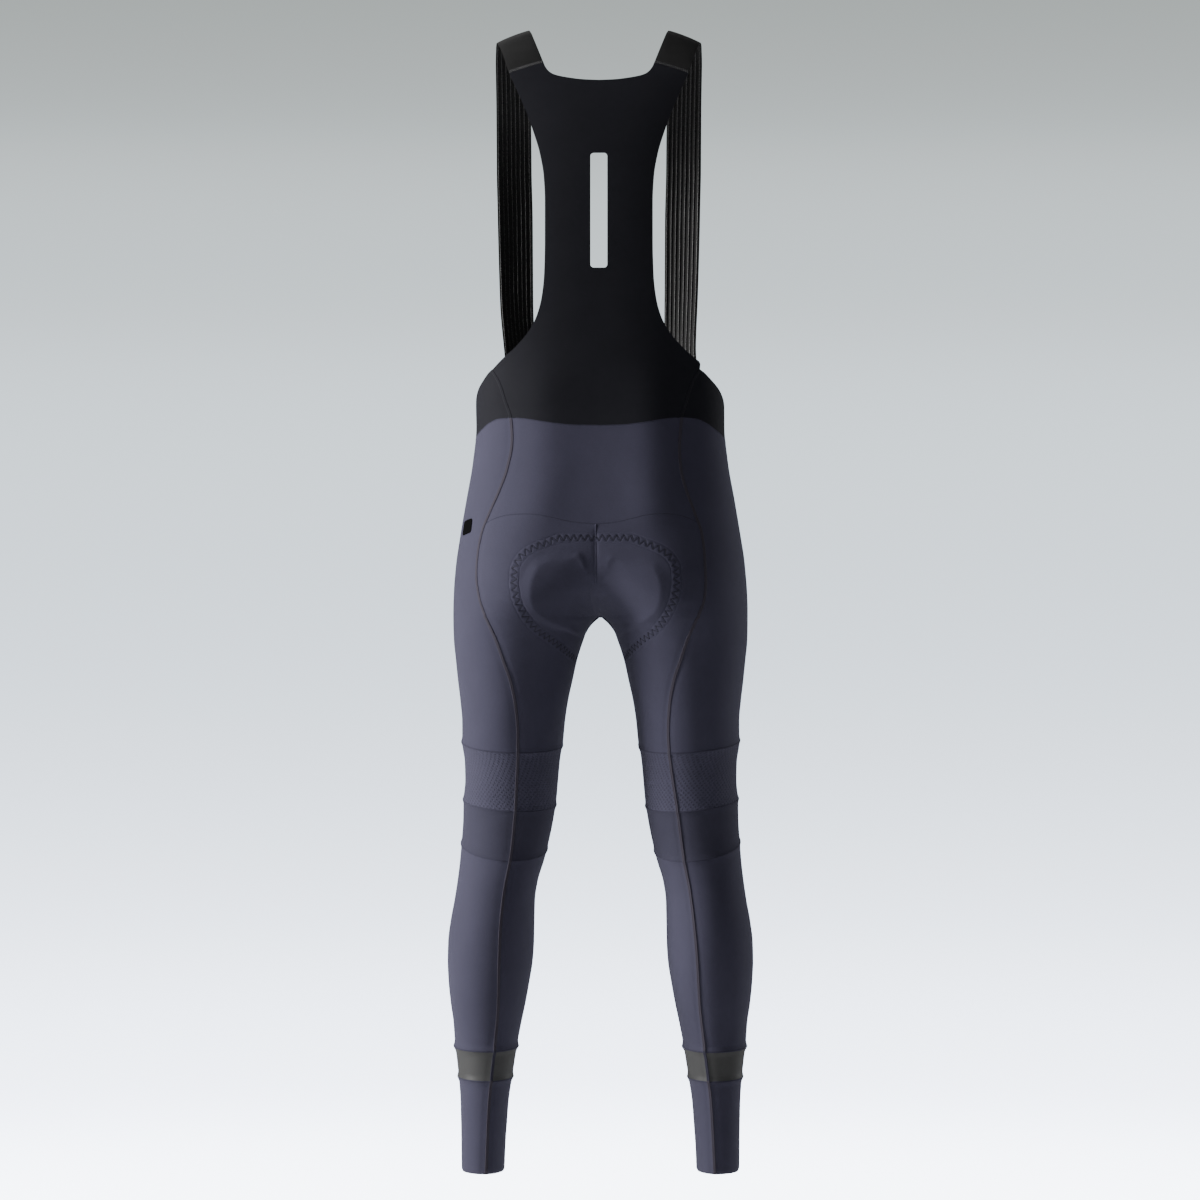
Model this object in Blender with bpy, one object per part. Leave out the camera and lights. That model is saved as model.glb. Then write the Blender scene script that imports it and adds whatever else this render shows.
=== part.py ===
"""Long bib tights for cycling, filled out as they are when worn, as Blender solids.

The garment hangs from its two shoulder straps. The origin lies midway between them, at the
top of the shoulders. +Z is up, the front faces -Y and the wearer's left is at +X. Tables and
constants are in millimetres, and the meshes are made in metres.
"""

import math

import bmesh
import bpy
import numpy as np
from mathutils import Vector
from mathutils.bvhtree import BVHTree

MM = 0.001

# Cloth
WALL = 1.4
SEAM_GAP = 0.3
CREASE = 10.0

# Places down the garment, in mm below the top of the shoulders
CROTCH = 712
CROTCH_LINE_AT_SIDE = 726
BIB_CORNER = 411
HEM = 1390

# Half-sections of the trunk. reach is how far the round of one side runs on past the middle,
# lobe is how far from the middle that round is deepest, and square is its exponent
TRUNK_COLUMNS = "down outer reach lobe front back square"
TRUNK = [
    (10, 190, 510, 0, 20, 14, 2.40),
    (25, 190, 510, 0, 55, 33, 2.40),
    (40, 190, 510, 0, 70, 50, 2.40),
    (60, 189, 510, 0, 80, 66, 2.40),
    (100, 185, 510, 0, 95, 88, 2.40),
    (150, 178, 510, 0, 106, 101, 2.40),
    (200, 172, 510, 0, 112, 104, 2.40),
    (260, 165, 510, 0, 110, 101, 2.40),
    (320, 158, 510, 0, 105, 93, 2.40),
    (380, 153, 510, 0, 101, 86, 2.40),
    (411, 151, 510, 0, 100, 84, 2.40),
    (455, 153, 510, 0, 100, 84, 2.38),
    (478, 153, 510, 10, 102, 86, 2.36),
    (520, 157, 510, 25, 106, 94, 2.30),
    (570, 165.5, 510, 45, 106, 106, 2.25),
    (620, 174, 250, 62, 103, 116, 2.15),
    (640, 177, 160, 69, 101, 119, 2.10),
    (660, 179, 100, 76, 98, 121, 2.06),
    (675, 180.3, 60, 82, 95.5, 120.5, 2.03),
    (690, 181, 25, 88, 92, 119, 2.00),
    (700, 181.3, 11, 92, 90, 116, 2.00),
]

# Sections of the left leg, whose inner side stands at inner from the middle of the garment
LEG_COLUMNS = "down outer inner front back middle"
LEG = [
    (712, 181.4, 0, 88, 112, 0),
    (714, 181.4, 4, 88, 111.1, 0),
    (721, 181.4, 11.5, 87.7, 107.6, 0),
    (730, 181.3, 17.8, 87, 104, -0.5),
    (740, 181, 21.5, 86, 100, -1),
    (765, 178.5, 29.5, 85, 93, -2),
    (790, 176, 35, 84, 88, -2.5),
    (815, 173, 40.5, 81, 84, -3),
    (840, 171, 44.5, 78, 79, -3.5),
    (865, 171, 47, 74, 74, -4),
    (890, 168, 50.5, 70, 68, -5),
    (913, 167.5, 52.5, 66, 64, -5.5),
    (937, 169.5, 54.5, 63, 61, -6),
    (962, 170, 58.5, 60, 59, -5),
    (986, 171.5, 63.5, 58, 57, -4),
    (1011, 173.5, 69.5, 56, 58, -2),
    (1036, 176.5, 77, 54, 61, 0),
    (1060, 180, 80.5, 52, 65, 2),
    (1085, 184.5, 81, 51, 68, 3),
    (1110, 187.5, 81.5, 50, 69, 4),
    (1134, 188, 83, 48, 68, 5),
    (1160, 187, 87, 46, 64, 6),
    (1184, 184.5, 91.5, 44, 59, 7),
    (1208, 181, 96.5, 42, 53, 8),
    (1232, 179, 101, 40, 48, 10),
    (1257, 176, 105, 38, 45, 11),
    (1282, 173.5, 109, 37, 42, 12),
    (1306, 172, 112.5, 36, 41, 13),
    (1331, 171.5, 114.5, 36, 40, 13.5),
    (1355, 171, 116, 36, 39.5, 14),
    (1392, 170.5, 117.5, 36, 39, 14),
]

# The seam down the back of each side: how far it lies from the middle of the garment
SIDE_SEAM = [
    (411, 127),
    (427, 117.5),
    (450, 110),
    (470, 103.5),
    (502, 101.5),
    (531, 105),
    (556, 112.5),
    (584, 124),
    (611, 134),
    (638, 138),
    (664, 139),
    (688, 136.5),
    (710, 129),
    (739, 116),
    (765, 107),
    (790, 98.5),
    (825, 92.5),
    (852, 91),
    (875, 92),
    (913, 95.5),
    (947, 99),
    (1006, 106),
    (1043, 113),
    (1085, 118),
    (1134, 121),
    (1183, 123),
    (1239, 129),
    (1306, 136),
    (1392, 140),
]

# How far the filled garment leans to its left and turns about its own axis, down its length
STANCE_COLUMNS = "down lean degrees"
STANCE = [
    (-20, 2.0, 0),
    (320, 2.0, 0),
    (400, 1.1, 0.9),
    (440, 0.6, 1.5),
    (480, 0.1, 2.0),
    (520, 0, 2.4),
    (620, 0, 3.0),
    (900, 0, 3.0),
    (1100, 0, 2.5),
    (1250, 0, 1.0),
    (1392, 0, 0),
]

# How far both side seams have slipped round to the wearer's left, down the garment
SEAM_SLIP = [
    (411, 5),
    (490, 3),
    (540, 5.5),
    (600, 8),
    (650, 9.5),
    (700, 6.5),
    (760, 6),
    (850, 6),
    (900, 4.5),
    (960, 2),
    (1080, 1),
    (1130, 0),
    (1392, 0),
]

# Edges across the trunk, as share of the way from the middle to the side seam, and down
FRONT_TOP = [
    (0, 430),
    (0.16, 424),
    (0.27, 418),
    (0.46, 418),
    (0.52, 421),
    (0.56, 428),
    (0.6, 436),
    (0.65, 446),
    (0.7, 453),
    (0.77, 443),
    (0.82, 434.5),
    (0.875, 426.5),
    (0.965, 414.5),
    (1, 410.5),
]
BLACK_EDGE = [
    (0, 518),
    (0.3, 516),
    (0.55, 508),
    (0.69, 496),
    (0.76, 490.5),
    (0.825, 483.6),
    (0.885, 475.7),
    (0.935, 471.3),
    (1, 470),
]
YOKE_TOP = [(0, 480), (0.28, 479.5), (0.45, 478), (0.61, 475.7), (0.78, 472.4), (0.94, 470.4), (1, 470)]
YOKE_LOW = [(0, 599.5), (0.2, 597), (0.33, 593.5), (0.5, 589), (0.65, 587.5), (0.8, 588.6), (0.9, 592), (1, 598)]

# Edges round the leg: down at the inside, at the outside and at the middle of the back
KNEE_TOP = (871, 864, 876)
KNEE_MIDDLE = (944, 935, 948)
KNEE_LOW = (999, 988, 1008)
BAND_TOP = (1238, 1238, 1240)
BAND_LOW = (1275, 1275, 1277)
HEM_EDGE = (HEM, HEM, HEM)

# The back of the bib: its concave edge from the side seam up to the strap, and its neckline
BIB_EDGE = [
    (411, 127),
    (404, 123.5),
    (396, 115),
    (384, 101),
    (364, 84),
    (348, 75.5),
    (325, 69.2),
    (298, 66.2),
    (258, 65.1),
    (210, 65),
    (181, 66.4),
    (151, 71.5),
    (127, 78.6),
    (103, 87),
    (73, 99),
    (49.5, 109),
]
NECKLINE = [
    (0, 59.5),
    (20, 58.6),
    (36, 56.4),
    (48, 54),
    (56, 51.3),
    (62, 46.5),
    (65.7, 40.5),
    (67.5, 35.6),
]
SLOT_HALF_WIDTH = 10.2
SLOT_TOP = 152
SLOT_LOW = 290
SLOT_CORNER = 4.0
CUT_DEPTH = 60.0

# The straps: middle height, how far the neck edge stands above it, both edges' x and y, and bow
STRAP_COLUMNS = "down rise x_out x_in y_out y_in bow"
STRAP = [
    (15.3, 7, 118, 78, 29, 26, 0.5),
    (2, 7.5, 123.2, 83.5, 14, 13, 1),
    (-2, 7.7, 125.8, 86.2, -1, -1, 1),
    (4, 7, 127, 87.3, -17, -15, 1),
    (18.5, 5, 127.7, 87, -31, -29, 1),
    (45, 3, 127.8, 85.8, -48, -48, 0.5),
    (74, 1.5, 127.8, 85.2, -66, -68, 0.5),
    (108, 0, 128, 84.7, -83, -89, 1),
    (150, 0, 128.1, 84.6, -96, -105, 1),
    (205, 0, 127.2, 83.5, -104, -115, 1.5),
    (260, 0, 125.9, 83.1, -102, -114, 1.5),
    (320, 0, 123.8, 82.6, -92, -106, 1.5),
    (375, 0, 120.2, 81, -78, -97, 1.5),
]
STRAP_STATIONS = 21
STRAP_RIBS = 8
STRAP_WALL = 1.2
RIB_HEIGHT = 1.1
STRAP_FOOT_SHARES = (0.46, 0.27)
STRAP_FOOT_BOW = 2.0

# The seat pad: how far along from its top at the back, its half-width and its thickness
PAD_TOP = 616
PAD_FRONT = 662
PAD_CLEARANCE = 1.3
PAD_COLUMNS = "along half_width thickness"
PAD = [
    (0, 45, 2.5),
    (7, 64, 3.5),
    (22, 92, 5),
    (45, 104, 6),
    (70, 102, 6),
    (95, 88, 6),
    (120, 72, 6),
    (150, 58, 6),
    (185, 55, 5.5),
    (225, 56, 5),
    (250, 50, 4),
    (266, 38, 2.5),
]
PAD_EDGE = 2.0

# The swell that the pad gives the seat: middle and half-size of each side's round
SWELL_X = 50
SWELL_DOWN = 684
SWELL_HALF_WIDTH = 37
SWELL_HALF_HEIGHT = 50
SWELL_HEIGHT = 4.0
SWELL_EDGE = 0.5

# The label on the wearer's left hip
LABEL_X = 160
LABEL_DOWN = 602
LABEL_WIDTH = 26
LABEL_HEIGHT = 18
LABEL_WALL = 0.9
LABEL_TILT = math.radians(9)
LABEL_CORNER_PULL = 0.12
LABEL_CELLS = 6

# Cells of the panels
SEAT_CELLS = 8
THIGH_CELLS = 14
THIGH_CROWDING = 1.15
YOKE_ROWS = 4
SEAT_ROWS_ABOVE = 11
SEAT_ROWS_BELOW = 9
SIDE_ROWS = 4
BIB_ROWS = 13
NECK_ROWS = 4
TUBE_ROWS = {"knee_upper": 4, "knee_lower": 3, "calf": 9, "ankle_band": 2, "cuff": 3}

SLATE = (0.085, 0.085, 0.125, 1)
SLATE_DARK = (0.055, 0.055, 0.08, 1)
BLACK = (0.012, 0.012, 0.014, 1)
OLIVE = (0.075, 0.08, 0.07, 1)
PAD_GREY = (0.12, 0.12, 0.13, 1)


def table_column(columns, rows, name):
    """One named column of a table."""
    return np.array([row[columns.split().index(name)] for row in rows], float)


def smooth_curve(knots, values, at):
    """A monotone cubic through the knots, which never swings past them."""
    knots = np.asarray(knots, float)
    values = np.asarray(values, float)
    step = np.diff(knots)
    rise = np.diff(values) / step
    slope = np.zeros_like(values)
    slope[0] = rise[0]
    slope[-1] = rise[-1]
    turning = rise[:-1] * rise[1:] <= 0
    before = np.where(turning, 1, rise[:-1])
    after = np.where(turning, 1, rise[1:])
    near = 2 * step[1:] + step[:-1]
    far = step[1:] + 2 * step[:-1]
    slope[1:-1] = np.where(turning, 0, (near + far) / (near / before + far / after))
    at = np.clip(at, knots[0], knots[-1])
    i = np.clip(np.searchsorted(knots, at, side="right") - 1, 0, len(step) - 1)
    t = (at - knots[i]) / step[i]
    start = (1 + 2 * t) * (1 - t) ** 2 * values[i] + t * (1 - t) ** 2 * step[i] * slope[i]
    end = t * t * (3 - 2 * t) * values[i + 1] + t * t * (t - 1) * step[i] * slope[i + 1]
    return start + end


def through(pairs, at):
    """The smooth curve through a list of pairs."""
    pairs = sorted(pairs)
    return smooth_curve([pair[0] for pair in pairs], [pair[1] for pair in pairs], at)


def along(points, shares):
    """Points at shares of the length of a smooth line through the given points."""
    points = np.asarray(points, float)
    chords = np.linalg.norm(np.diff(points, axis=0), axis=1)
    length = np.concatenate([[0], np.cumsum(chords)])
    fine = np.linspace(0, length[-1], 400)
    line = np.stack([smooth_curve(length, column, fine) for column in points.T], axis=1)
    run = np.concatenate([[0], np.cumsum(np.linalg.norm(np.diff(line, axis=0), axis=1))])
    at = np.asarray(shares) * run[-1]
    return np.stack([np.interp(at, run, column) for column in line.T], axis=1)


def section_tables():
    """Each measure of the sections, trunk and leg in one run, by how far down they lie."""
    trunk = {name: table_column(TRUNK_COLUMNS, TRUNK, name) for name in TRUNK_COLUMNS.split()}
    leg = {name: table_column(LEG_COLUMNS, LEG, name) for name in LEG_COLUMNS.split()}
    leg_inner = np.hypot(leg["inner"], CREASE)
    same = ("down", "outer", "front", "back")
    joined = {name: np.concatenate([trunk[name], leg[name]]) for name in same}
    joined["inner"] = np.concatenate([CREASE - trunk["reach"], leg_inner])
    joined["lobe"] = np.concatenate([trunk["lobe"], (leg_inner + leg["outer"]) / 2])
    joined["middle"] = np.concatenate([np.zeros(len(TRUNK)), leg["middle"]])
    joined["square"] = np.concatenate([trunk["square"], np.full(len(LEG), 2.0)])
    return joined


SECTIONS = section_tables()


def section(down):
    """The section's measures at each of the given heights."""
    at = {}
    for name, values in SECTIONS.items():
        if name != "down":
            at[name] = smooth_curve(SECTIONS["down"], values, down)
    at["lobe"] = np.maximum(at["lobe"], CREASE)
    return at


def field(points):
    """Below 0 inside the body that the garment clothes, 0 on it and above 0 outside."""
    x, y, z = np.moveaxis(points, -1, 0)
    at = section(-z)
    across = np.hypot(x, CREASE)
    half_width = np.where(across < at["lobe"], at["lobe"] - at["inner"], at["outer"] - at["lobe"])
    depth = np.where(y < at["middle"], at["front"], at["back"])
    wide = np.abs((across - at["lobe"]) / half_width) ** at["square"]
    deep = np.abs((y - at["middle"]) / depth) ** at["square"]
    return wide + deep - 1


def gradient(points):
    """How fast the field grows along each axis."""
    step = 0.05
    parts = []
    for axis in np.eye(3):
        parts.append((field(points + step * axis) - field(points - step * axis)) / (2 * step))
    return np.stack(parts, axis=-1)


def normals(points):
    """Unit vectors that point out of the garment."""
    slope = gradient(points)
    return slope / np.linalg.norm(slope, axis=-1, keepdims=True)


def half_ring(down):
    """x and y round the left half of the sections, from the front, past the side, to the back."""
    at = {name: values[:, None] for name, values in section(down).items()}
    quarter = np.linspace(0, math.pi / 2, 49)[None, :]
    start = np.sqrt(np.maximum(at["inner"], CREASE) ** 2 - CREASE**2)
    deepest = np.sqrt(at["lobe"] ** 2 - CREASE**2)
    inner_x = start + (deepest - start) * (1 - np.cos(quarter))
    share = (at["lobe"] - np.hypot(inner_x, CREASE)) / (at["lobe"] - at["inner"])
    inner_y = (1 - np.clip(share, 0, 1) ** at["square"]) ** (1 / at["square"])
    power = 2 / at["square"]
    outer_x = at["lobe"] + (at["outer"] - at["lobe"]) * np.sin(quarter) ** power
    outer_x = np.sqrt(outer_x**2 - CREASE**2)
    outer_y = np.clip(np.cos(quarter), 0, 1) ** power
    x = np.concatenate([inner_x, outer_x[:, 1:]], axis=1)
    y = np.concatenate([inner_y, outer_y[:, 1:]], axis=1)
    front = at["middle"] - at["front"] * y
    back = at["middle"] + at["back"] * y
    whole_x = np.concatenate([x, x[:, -2::-1]], axis=1)
    whole_y = np.concatenate([front, back[:, -2::-1]], axis=1)
    return whole_x, whole_y


def ring_lengths(x, y):
    """The length run so far at each point of the rings."""
    chords = np.hypot(np.diff(x, axis=1), np.diff(y, axis=1))
    return np.concatenate([np.zeros((len(x), 1)), np.cumsum(chords, axis=1)], axis=1)


def surface(u, down):
    """Points of the body at share u of the way round the half-section, at each height."""
    u, down = np.broadcast_arrays(np.asarray(u, float), np.asarray(down, float))
    x, y = half_ring(down.ravel())
    run = ring_lengths(x, y)
    target = (u.ravel() % 1.0 + (u.ravel() == 1.0)) * run[:, -1]
    i = np.clip((run < target[:, None]).sum(axis=1), 1, run.shape[1] - 1)
    rows = np.arange(len(i))
    chord = np.maximum(run[rows, i] - run[rows, i - 1], 1e-9)
    t = np.clip((target - run[rows, i - 1]) / chord, 0, 1)
    px = x[rows, i - 1] + t * (x[rows, i] - x[rows, i - 1])
    py = y[rows, i - 1] + t * (y[rows, i] - y[rows, i - 1])
    return np.stack([px, py, -down.ravel()], axis=-1).reshape(u.shape + (3,))


def seam_table():
    """The side seam as a share of the way round, and the half-section's length, down the garment."""
    down = np.arange(400, HEM + 3, 2.0)
    x, y = half_ring(down)
    run = ring_lengths(x, y)
    seam_x = through(SIDE_SEAM, down)
    share = []
    for i in range(len(down)):
        tip = int(np.argmax(x[i]))
        back_x = x[i, tip:][::-1]
        back_run = run[i, tip:][::-1]
        share.append(np.interp(seam_x[i], back_x, back_run) / run[i, -1])
    return down, np.array(share), run[:, -1]


SEAM_DOWN, SEAM_SHARE, RING_LENGTH = seam_table()


def side_seam(down):
    return np.interp(down, SEAM_DOWN, SEAM_SHARE)


def gap_share(down):
    """Half the gap of a seam, as a share of the half-section's length."""
    return SEAM_GAP / 2 / np.interp(down, SEAM_DOWN, RING_LENGTH)


def front_share(share, down, centre_seam=True):
    """Round from the middle of the front, or the inside of the leg, to the side seam."""
    low = gap_share(down) * centre_seam
    high = side_seam(down) - gap_share(down)
    return low + share * (high - low)


def back_share(share, down, centre_seam=True):
    """Round from the middle of the back, or the inside of the leg, to the side seam."""
    low = 1 - gap_share(down) * centre_seam
    high = side_seam(down) + gap_share(down)
    return low + share * (high - low)


def whole_back(share, down):
    """As back_share, on a panel with no seam down its middle."""
    return back_share(share, down, centre_seam=False)


def whole_front(share, down):
    """As front_share, on a panel with no seam down its middle."""
    return front_share(share, down, centre_seam=False)


def slipped(u, down, side):
    """Shares moved along with the side seam's slip; side is 1 on the left and -1 on the right."""
    seam = side_seam(down)
    weight = np.where(u < seam, u / seam, (1 - u) / (1 - seam))
    return u - side * weight * through(SEAM_SLIP, down) / np.interp(down, SEAM_DOWN, RING_LENGTH)


def leg_edge(edge, u):
    """Down of an edge round the leg, a tilted ring through its three given heights."""
    inside, outside, back = edge
    mean = (inside + outside) / 2
    turn = 2 * math.pi * u
    return mean + (inside - outside) / 2 * np.cos(turn) + (mean - back) * np.sin(turn)


def leg_edge_at(edge, share_of, share, offset=0.0):
    """The same edge at one column of a panel, whose share round depends on its height."""
    down = np.full(np.shape(share), float(edge[1]))
    for _ in range(4):
        down = leg_edge(edge, share_of(share, down))
    return down + offset


def column_rows(share_of, share, top, low, shares):
    """Heights down one column of a panel at shares of its length between two heights."""
    turn = np.linspace(0, 1, 161)
    down = top + (low - top) * turn
    if abs(low - CROTCH) < 40:
        down = top + (low - top) * np.sin(turn * math.pi / 2)
    points = surface(share_of(np.full(len(down), share), down), down)
    run = np.concatenate([[0], np.cumsum(np.linalg.norm(np.diff(points, axis=0), axis=1))])
    return np.interp(np.asarray(shares) * run[-1], run, down)


def crotch_line(share):
    """Down of the line that the panels' rows follow from the crotch to the side seam."""
    return CROTCH + (CROTCH_LINE_AT_SIDE - CROTCH) * share


def swell(points):
    """How far the seat stands out over the pad."""
    x, y, z = np.moveaxis(points, -1, 0)
    apart = np.hypot((np.abs(x) - SWELL_X) / SWELL_HALF_WIDTH, (z + SWELL_DOWN) / SWELL_HALF_HEIGHT)
    t = np.clip((1 + SWELL_EDGE / 2 - apart) / SWELL_EDGE, 0, 1)
    return SWELL_HEIGHT * t * t * (3 - 2 * t) * (y > 0)


def grid_faces(rows, columns):
    """Faces of a grid of points whose rows run downward and columns round to the left."""
    faces = []
    for j in range(rows):
        for i in range(columns):
            a = j * (columns + 1) + i
            faces.append((a, a + 1, a + columns + 2, a + columns + 1))
    return faces


def material(name, colour, roughness):
    finish = bpy.data.materials.new(name)
    finish.use_nodes = True
    shader = finish.node_tree.nodes["Principled BSDF"]
    shader.inputs["Base Color"].default_value = colour
    shader.inputs["Roughness"].default_value = roughness
    shader.inputs["Metallic"].default_value = 0.0
    return finish


def add_object(name, points, faces, colour, roughness):
    """A closed mesh with its faces pointing out, from points in millimetres."""
    mesh = bpy.data.meshes.new(name)
    mesh.from_pydata([tuple(point * MM) for point in np.asarray(points, float)], [], faces)
    shape = bmesh.new()
    shape.from_mesh(mesh)
    bmesh.ops.recalc_face_normals(shape, faces=shape.faces)
    quads = [face for face in shape.faces if len(face.verts) == 4]
    bmesh.ops.triangulate(shape, faces=quads, quad_method="SHORT_EDGE")
    shape.to_mesh(mesh)
    shape.free()
    mesh.shade_smooth()
    mesh.set_sharp_from_angle(angle=math.radians(45))
    mesh.materials.append(material(name, colour, roughness))
    piece = bpy.data.objects.new(name, mesh)
    bpy.context.scene.collection.objects.link(piece)
    return piece


def wall(name, outer, inner, faces, colour, roughness=0.8):
    """A solid wall between an outer and an inner sheet that share their faces."""
    count = len(outer)
    edges = set()
    for face in faces:
        edges.update(zip(face, face[1:] + face[:1]))
    both = list(faces) + [tuple(i + count for i in reversed(face)) for face in faces]
    for a, b in sorted(edges):
        if (b, a) not in edges:
            both.append((b, a, a + count, b + count))
    return add_object(name, np.concatenate([outer, inner]), both, colour, roughness)


def mirror_points(points):
    return points * np.array([-1, 1, 1])


def both_sides(name, share_of, shares, downs, colour, relief=None):
    """A panel of the left side and its fellow on the right."""
    faces = grid_faces(len(downs) - 1, len(shares) - 1)
    outer, inner = sheets(share_of, shares, downs, 1, relief)
    wall(f"{name}_left", outer, inner, faces, colour)
    turned = [tuple(reversed(face)) for face in faces]
    outer, inner = sheets(share_of, shares, downs, -1, relief)
    wall(f"{name}_right", mirror_points(outer), mirror_points(inner), turned, colour)


def across_middle(left, right, faces):
    """A left half and a right half, given mirrored, joined along the points on the middle."""
    outer, inner = left
    count = len(outer)
    shared = np.abs(outer[:, 0]) < 1e-6
    number = {}
    extra = []
    for i in range(count):
        if shared[i]:
            number[i] = i
        else:
            number[i] = count + len(extra)
            extra.append(i)
    whole_outer = np.concatenate([outer, mirror_points(right[0][extra])])
    whole_inner = np.concatenate([inner, mirror_points(right[1][extra])])
    mirrored = [tuple(number[i] for i in reversed(face)) for face in faces]
    return whole_outer, whole_inner, list(faces) + mirrored


def sheets(share_of, shares, downs, side, relief=None):
    """The outer and inner sheets of a panel from the heights of its rows, one row per line."""
    u = slipped(share_of(np.asarray(shares)[None, :], downs), downs, side)
    points = surface(u, downs).reshape(-1, 3)
    out = normals(points)
    inner = points - WALL * out
    outer = points if relief is None else points + relief(points)[:, None] * out
    return outer, inner


def thigh_shares():
    """Shares of the columns of the front panels, which crowd a little towards the middle."""
    return np.linspace(0, 1, THIGH_CELLS + 1) ** THIGH_CROWDING


def side_stations():
    """Heights of the rows of yoke and seat along the side seam, down to the crotch line."""
    half = SEAM_GAP / 2
    yoke = np.linspace(YOKE_TOP[-1][1] + half, YOKE_LOW[-1][1] - half, YOKE_ROWS + 1)
    shares = np.linspace(0, 1, SEAT_ROWS_ABOVE + 1)
    seat = column_rows(back_share, 1.0, YOKE_LOW[-1][1] + half, crotch_line(1), shares)
    return np.concatenate([yoke, seat[1:]])


def row_heights(share_of, share, top, low, above_shares, below_shares):
    """Heights down one column, in two runs that meet on the crotch line."""
    above = column_rows(share_of, share, top, crotch_line(share), above_shares)
    below = column_rows(share_of, share, crotch_line(share), low, below_shares)
    return np.concatenate([above, below[1:]])


def make_seats():
    """From the yoke down the inside of the back of each leg to the knee."""
    half = SEAM_GAP / 2
    shares = np.linspace(0, 1, SEAT_CELLS + 1)
    tops = through(YOKE_LOW, shares) + half
    lows = leg_edge_at(KNEE_TOP, back_share, shares, -half)
    above = np.linspace(0, 1, SEAT_ROWS_ABOVE + 1)
    below = np.linspace(0, 1, SEAT_ROWS_BELOW + 1)
    columns = []
    for share, top, low in zip(shares, tops, lows):
        columns.append(row_heights(back_share, share, top, low, above, below))
    downs = np.stack(columns, axis=1)
    both_sides("seat", back_share, shares, downs, SLATE, swell)


def make_thighs():
    """Round the front and the outside of each thigh."""
    half = SEAM_GAP / 2
    shares = thigh_shares()
    tops = through(BLACK_EDGE, shares) + half
    lows = leg_edge_at(KNEE_TOP, front_share, shares, -half)
    side = side_stations()
    points = surface(side_seam(side), side)
    run = np.concatenate([[0], np.cumsum(np.linalg.norm(np.diff(points, axis=0), axis=1))])
    side_shares = run / run[-1]
    even = np.linspace(0, 1, len(side))
    below = np.linspace(0, 1, SEAT_ROWS_BELOW + 1)
    columns = []
    for share, top, low in zip(shares, tops, lows):
        weight = share * share
        blended = (1 - weight) * even + weight * side_shares
        columns.append(row_heights(front_share, share, top, low, blended, below))
    downs = np.stack(columns, axis=1)
    both_sides("thigh", front_share, shares, downs, SLATE)


def make_yoke():
    """The panel over the seat, from side seam to side seam."""
    half = SEAM_GAP / 2
    shares = np.linspace(0, 1, SEAT_CELLS + 1)
    tops = through(YOKE_TOP, shares) + half
    lows = through(YOKE_LOW, shares) - half
    rows = np.linspace(0, 1, YOKE_ROWS + 1)
    downs = tops[None, :] + (lows - tops)[None, :] * rows[:, None]
    left = sheets(whole_back, shares, downs, 1)
    right = sheets(whole_back, shares, downs, -1)
    wall("back_yoke", *across_middle(left, right, grid_faces(YOKE_ROWS, SEAT_CELLS)), SLATE)


def make_front_bib():
    """The black front of the waist, which wraps round to the side seams."""
    half = SEAM_GAP / 2
    shares = thigh_shares()
    tops = through(FRONT_TOP, shares)
    lows = through(BLACK_EDGE, shares) - half
    rows = np.linspace(0, 1, SIDE_ROWS + 1)
    downs = tops[None, :] + (lows - tops)[None, :] * rows[:, None]
    left = sheets(whole_front, shares, downs, 1)
    right = sheets(whole_front, shares, downs, -1)
    wall("front_bib", *across_middle(left, right, grid_faces(SIDE_ROWS, THIGH_CELLS)), BLACK)


def tube_share(share, down):
    """Round the whole leg from the side seam: -1 to 0 along the inside back, then 0 to 1."""
    back = back_share(-share, down, centre_seam=False)
    front = front_share(share, down, centre_seam=False)
    return np.where(share < 0, back, front)


def make_tube(name, top_edge, low_edge, hem, colour):
    """One ring of each leg, open by its seam's gap along the side seam."""
    half = SEAM_GAP / 2
    back_part = -np.linspace(1, 0, SEAT_CELLS + 1)[:-1]
    shares = np.concatenate([back_part, thigh_shares()])
    tops = leg_edge_at(top_edge, tube_share, shares, half)
    lows = leg_edge_at(low_edge, tube_share, shares, 0 if hem else -half)
    count = TUBE_ROWS[name]
    rows = np.linspace(0, 1, count + 1)
    downs = tops[None, :] + (lows - tops)[None, :] * rows[:, None]
    both_sides(name, tube_share, shares, downs, colour)


def back_points(x, down):
    """Points of the back of the trunk at the given places across and down."""
    at = section(down)
    across = np.hypot(x, CREASE)
    half_width = np.where(across < at["lobe"], at["lobe"] - at["inner"], at["outer"] - at["lobe"])
    share = np.clip(np.abs(across - at["lobe"]) / half_width, 0, 1)
    y = at["middle"] + at["back"] * (1 - share ** at["square"]) ** (1 / at["square"])
    return np.stack([x, y, -down], axis=-1)


def bib_outline(side_sign):
    """One half's middle and neckline, and its side, row by row from the bottom, as x and down."""
    half = SEAM_GAP / 2
    side_down = np.linspace(YOKE_TOP[-1][1] - half, BIB_CORNER, SIDE_ROWS + 1)
    side_share = slipped(back_share(np.ones(len(side_down)), side_down), side_down, side_sign)
    side = surface(side_share, side_down)
    side = np.stack([side[:, 0], side_down], axis=1)
    edge = [(x, down) for down, x in BIB_EDGE]
    edge[0] = tuple(side[-1])
    upper = along(edge, np.linspace(0, 1, BIB_ROWS + NECK_ROWS + 1)[1:])
    outer = np.concatenate([side, upper])
    foot = YOKE_TOP[0][1] - half
    turn = foot - (YOKE_TOP[-1][1] - BIB_CORNER)
    low = np.linspace(foot, turn, SIDE_ROWS + 1)
    high = np.linspace(turn, NECKLINE[0][1], BIB_ROWS + 1)[1:]
    middle = np.concatenate([low, high])
    neck = along(NECKLINE, np.linspace(0, 1, NECK_ROWS + 1)[1:])
    inner = np.concatenate([np.stack([np.zeros(len(middle)), middle], axis=1), neck])
    return inner, outer


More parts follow.
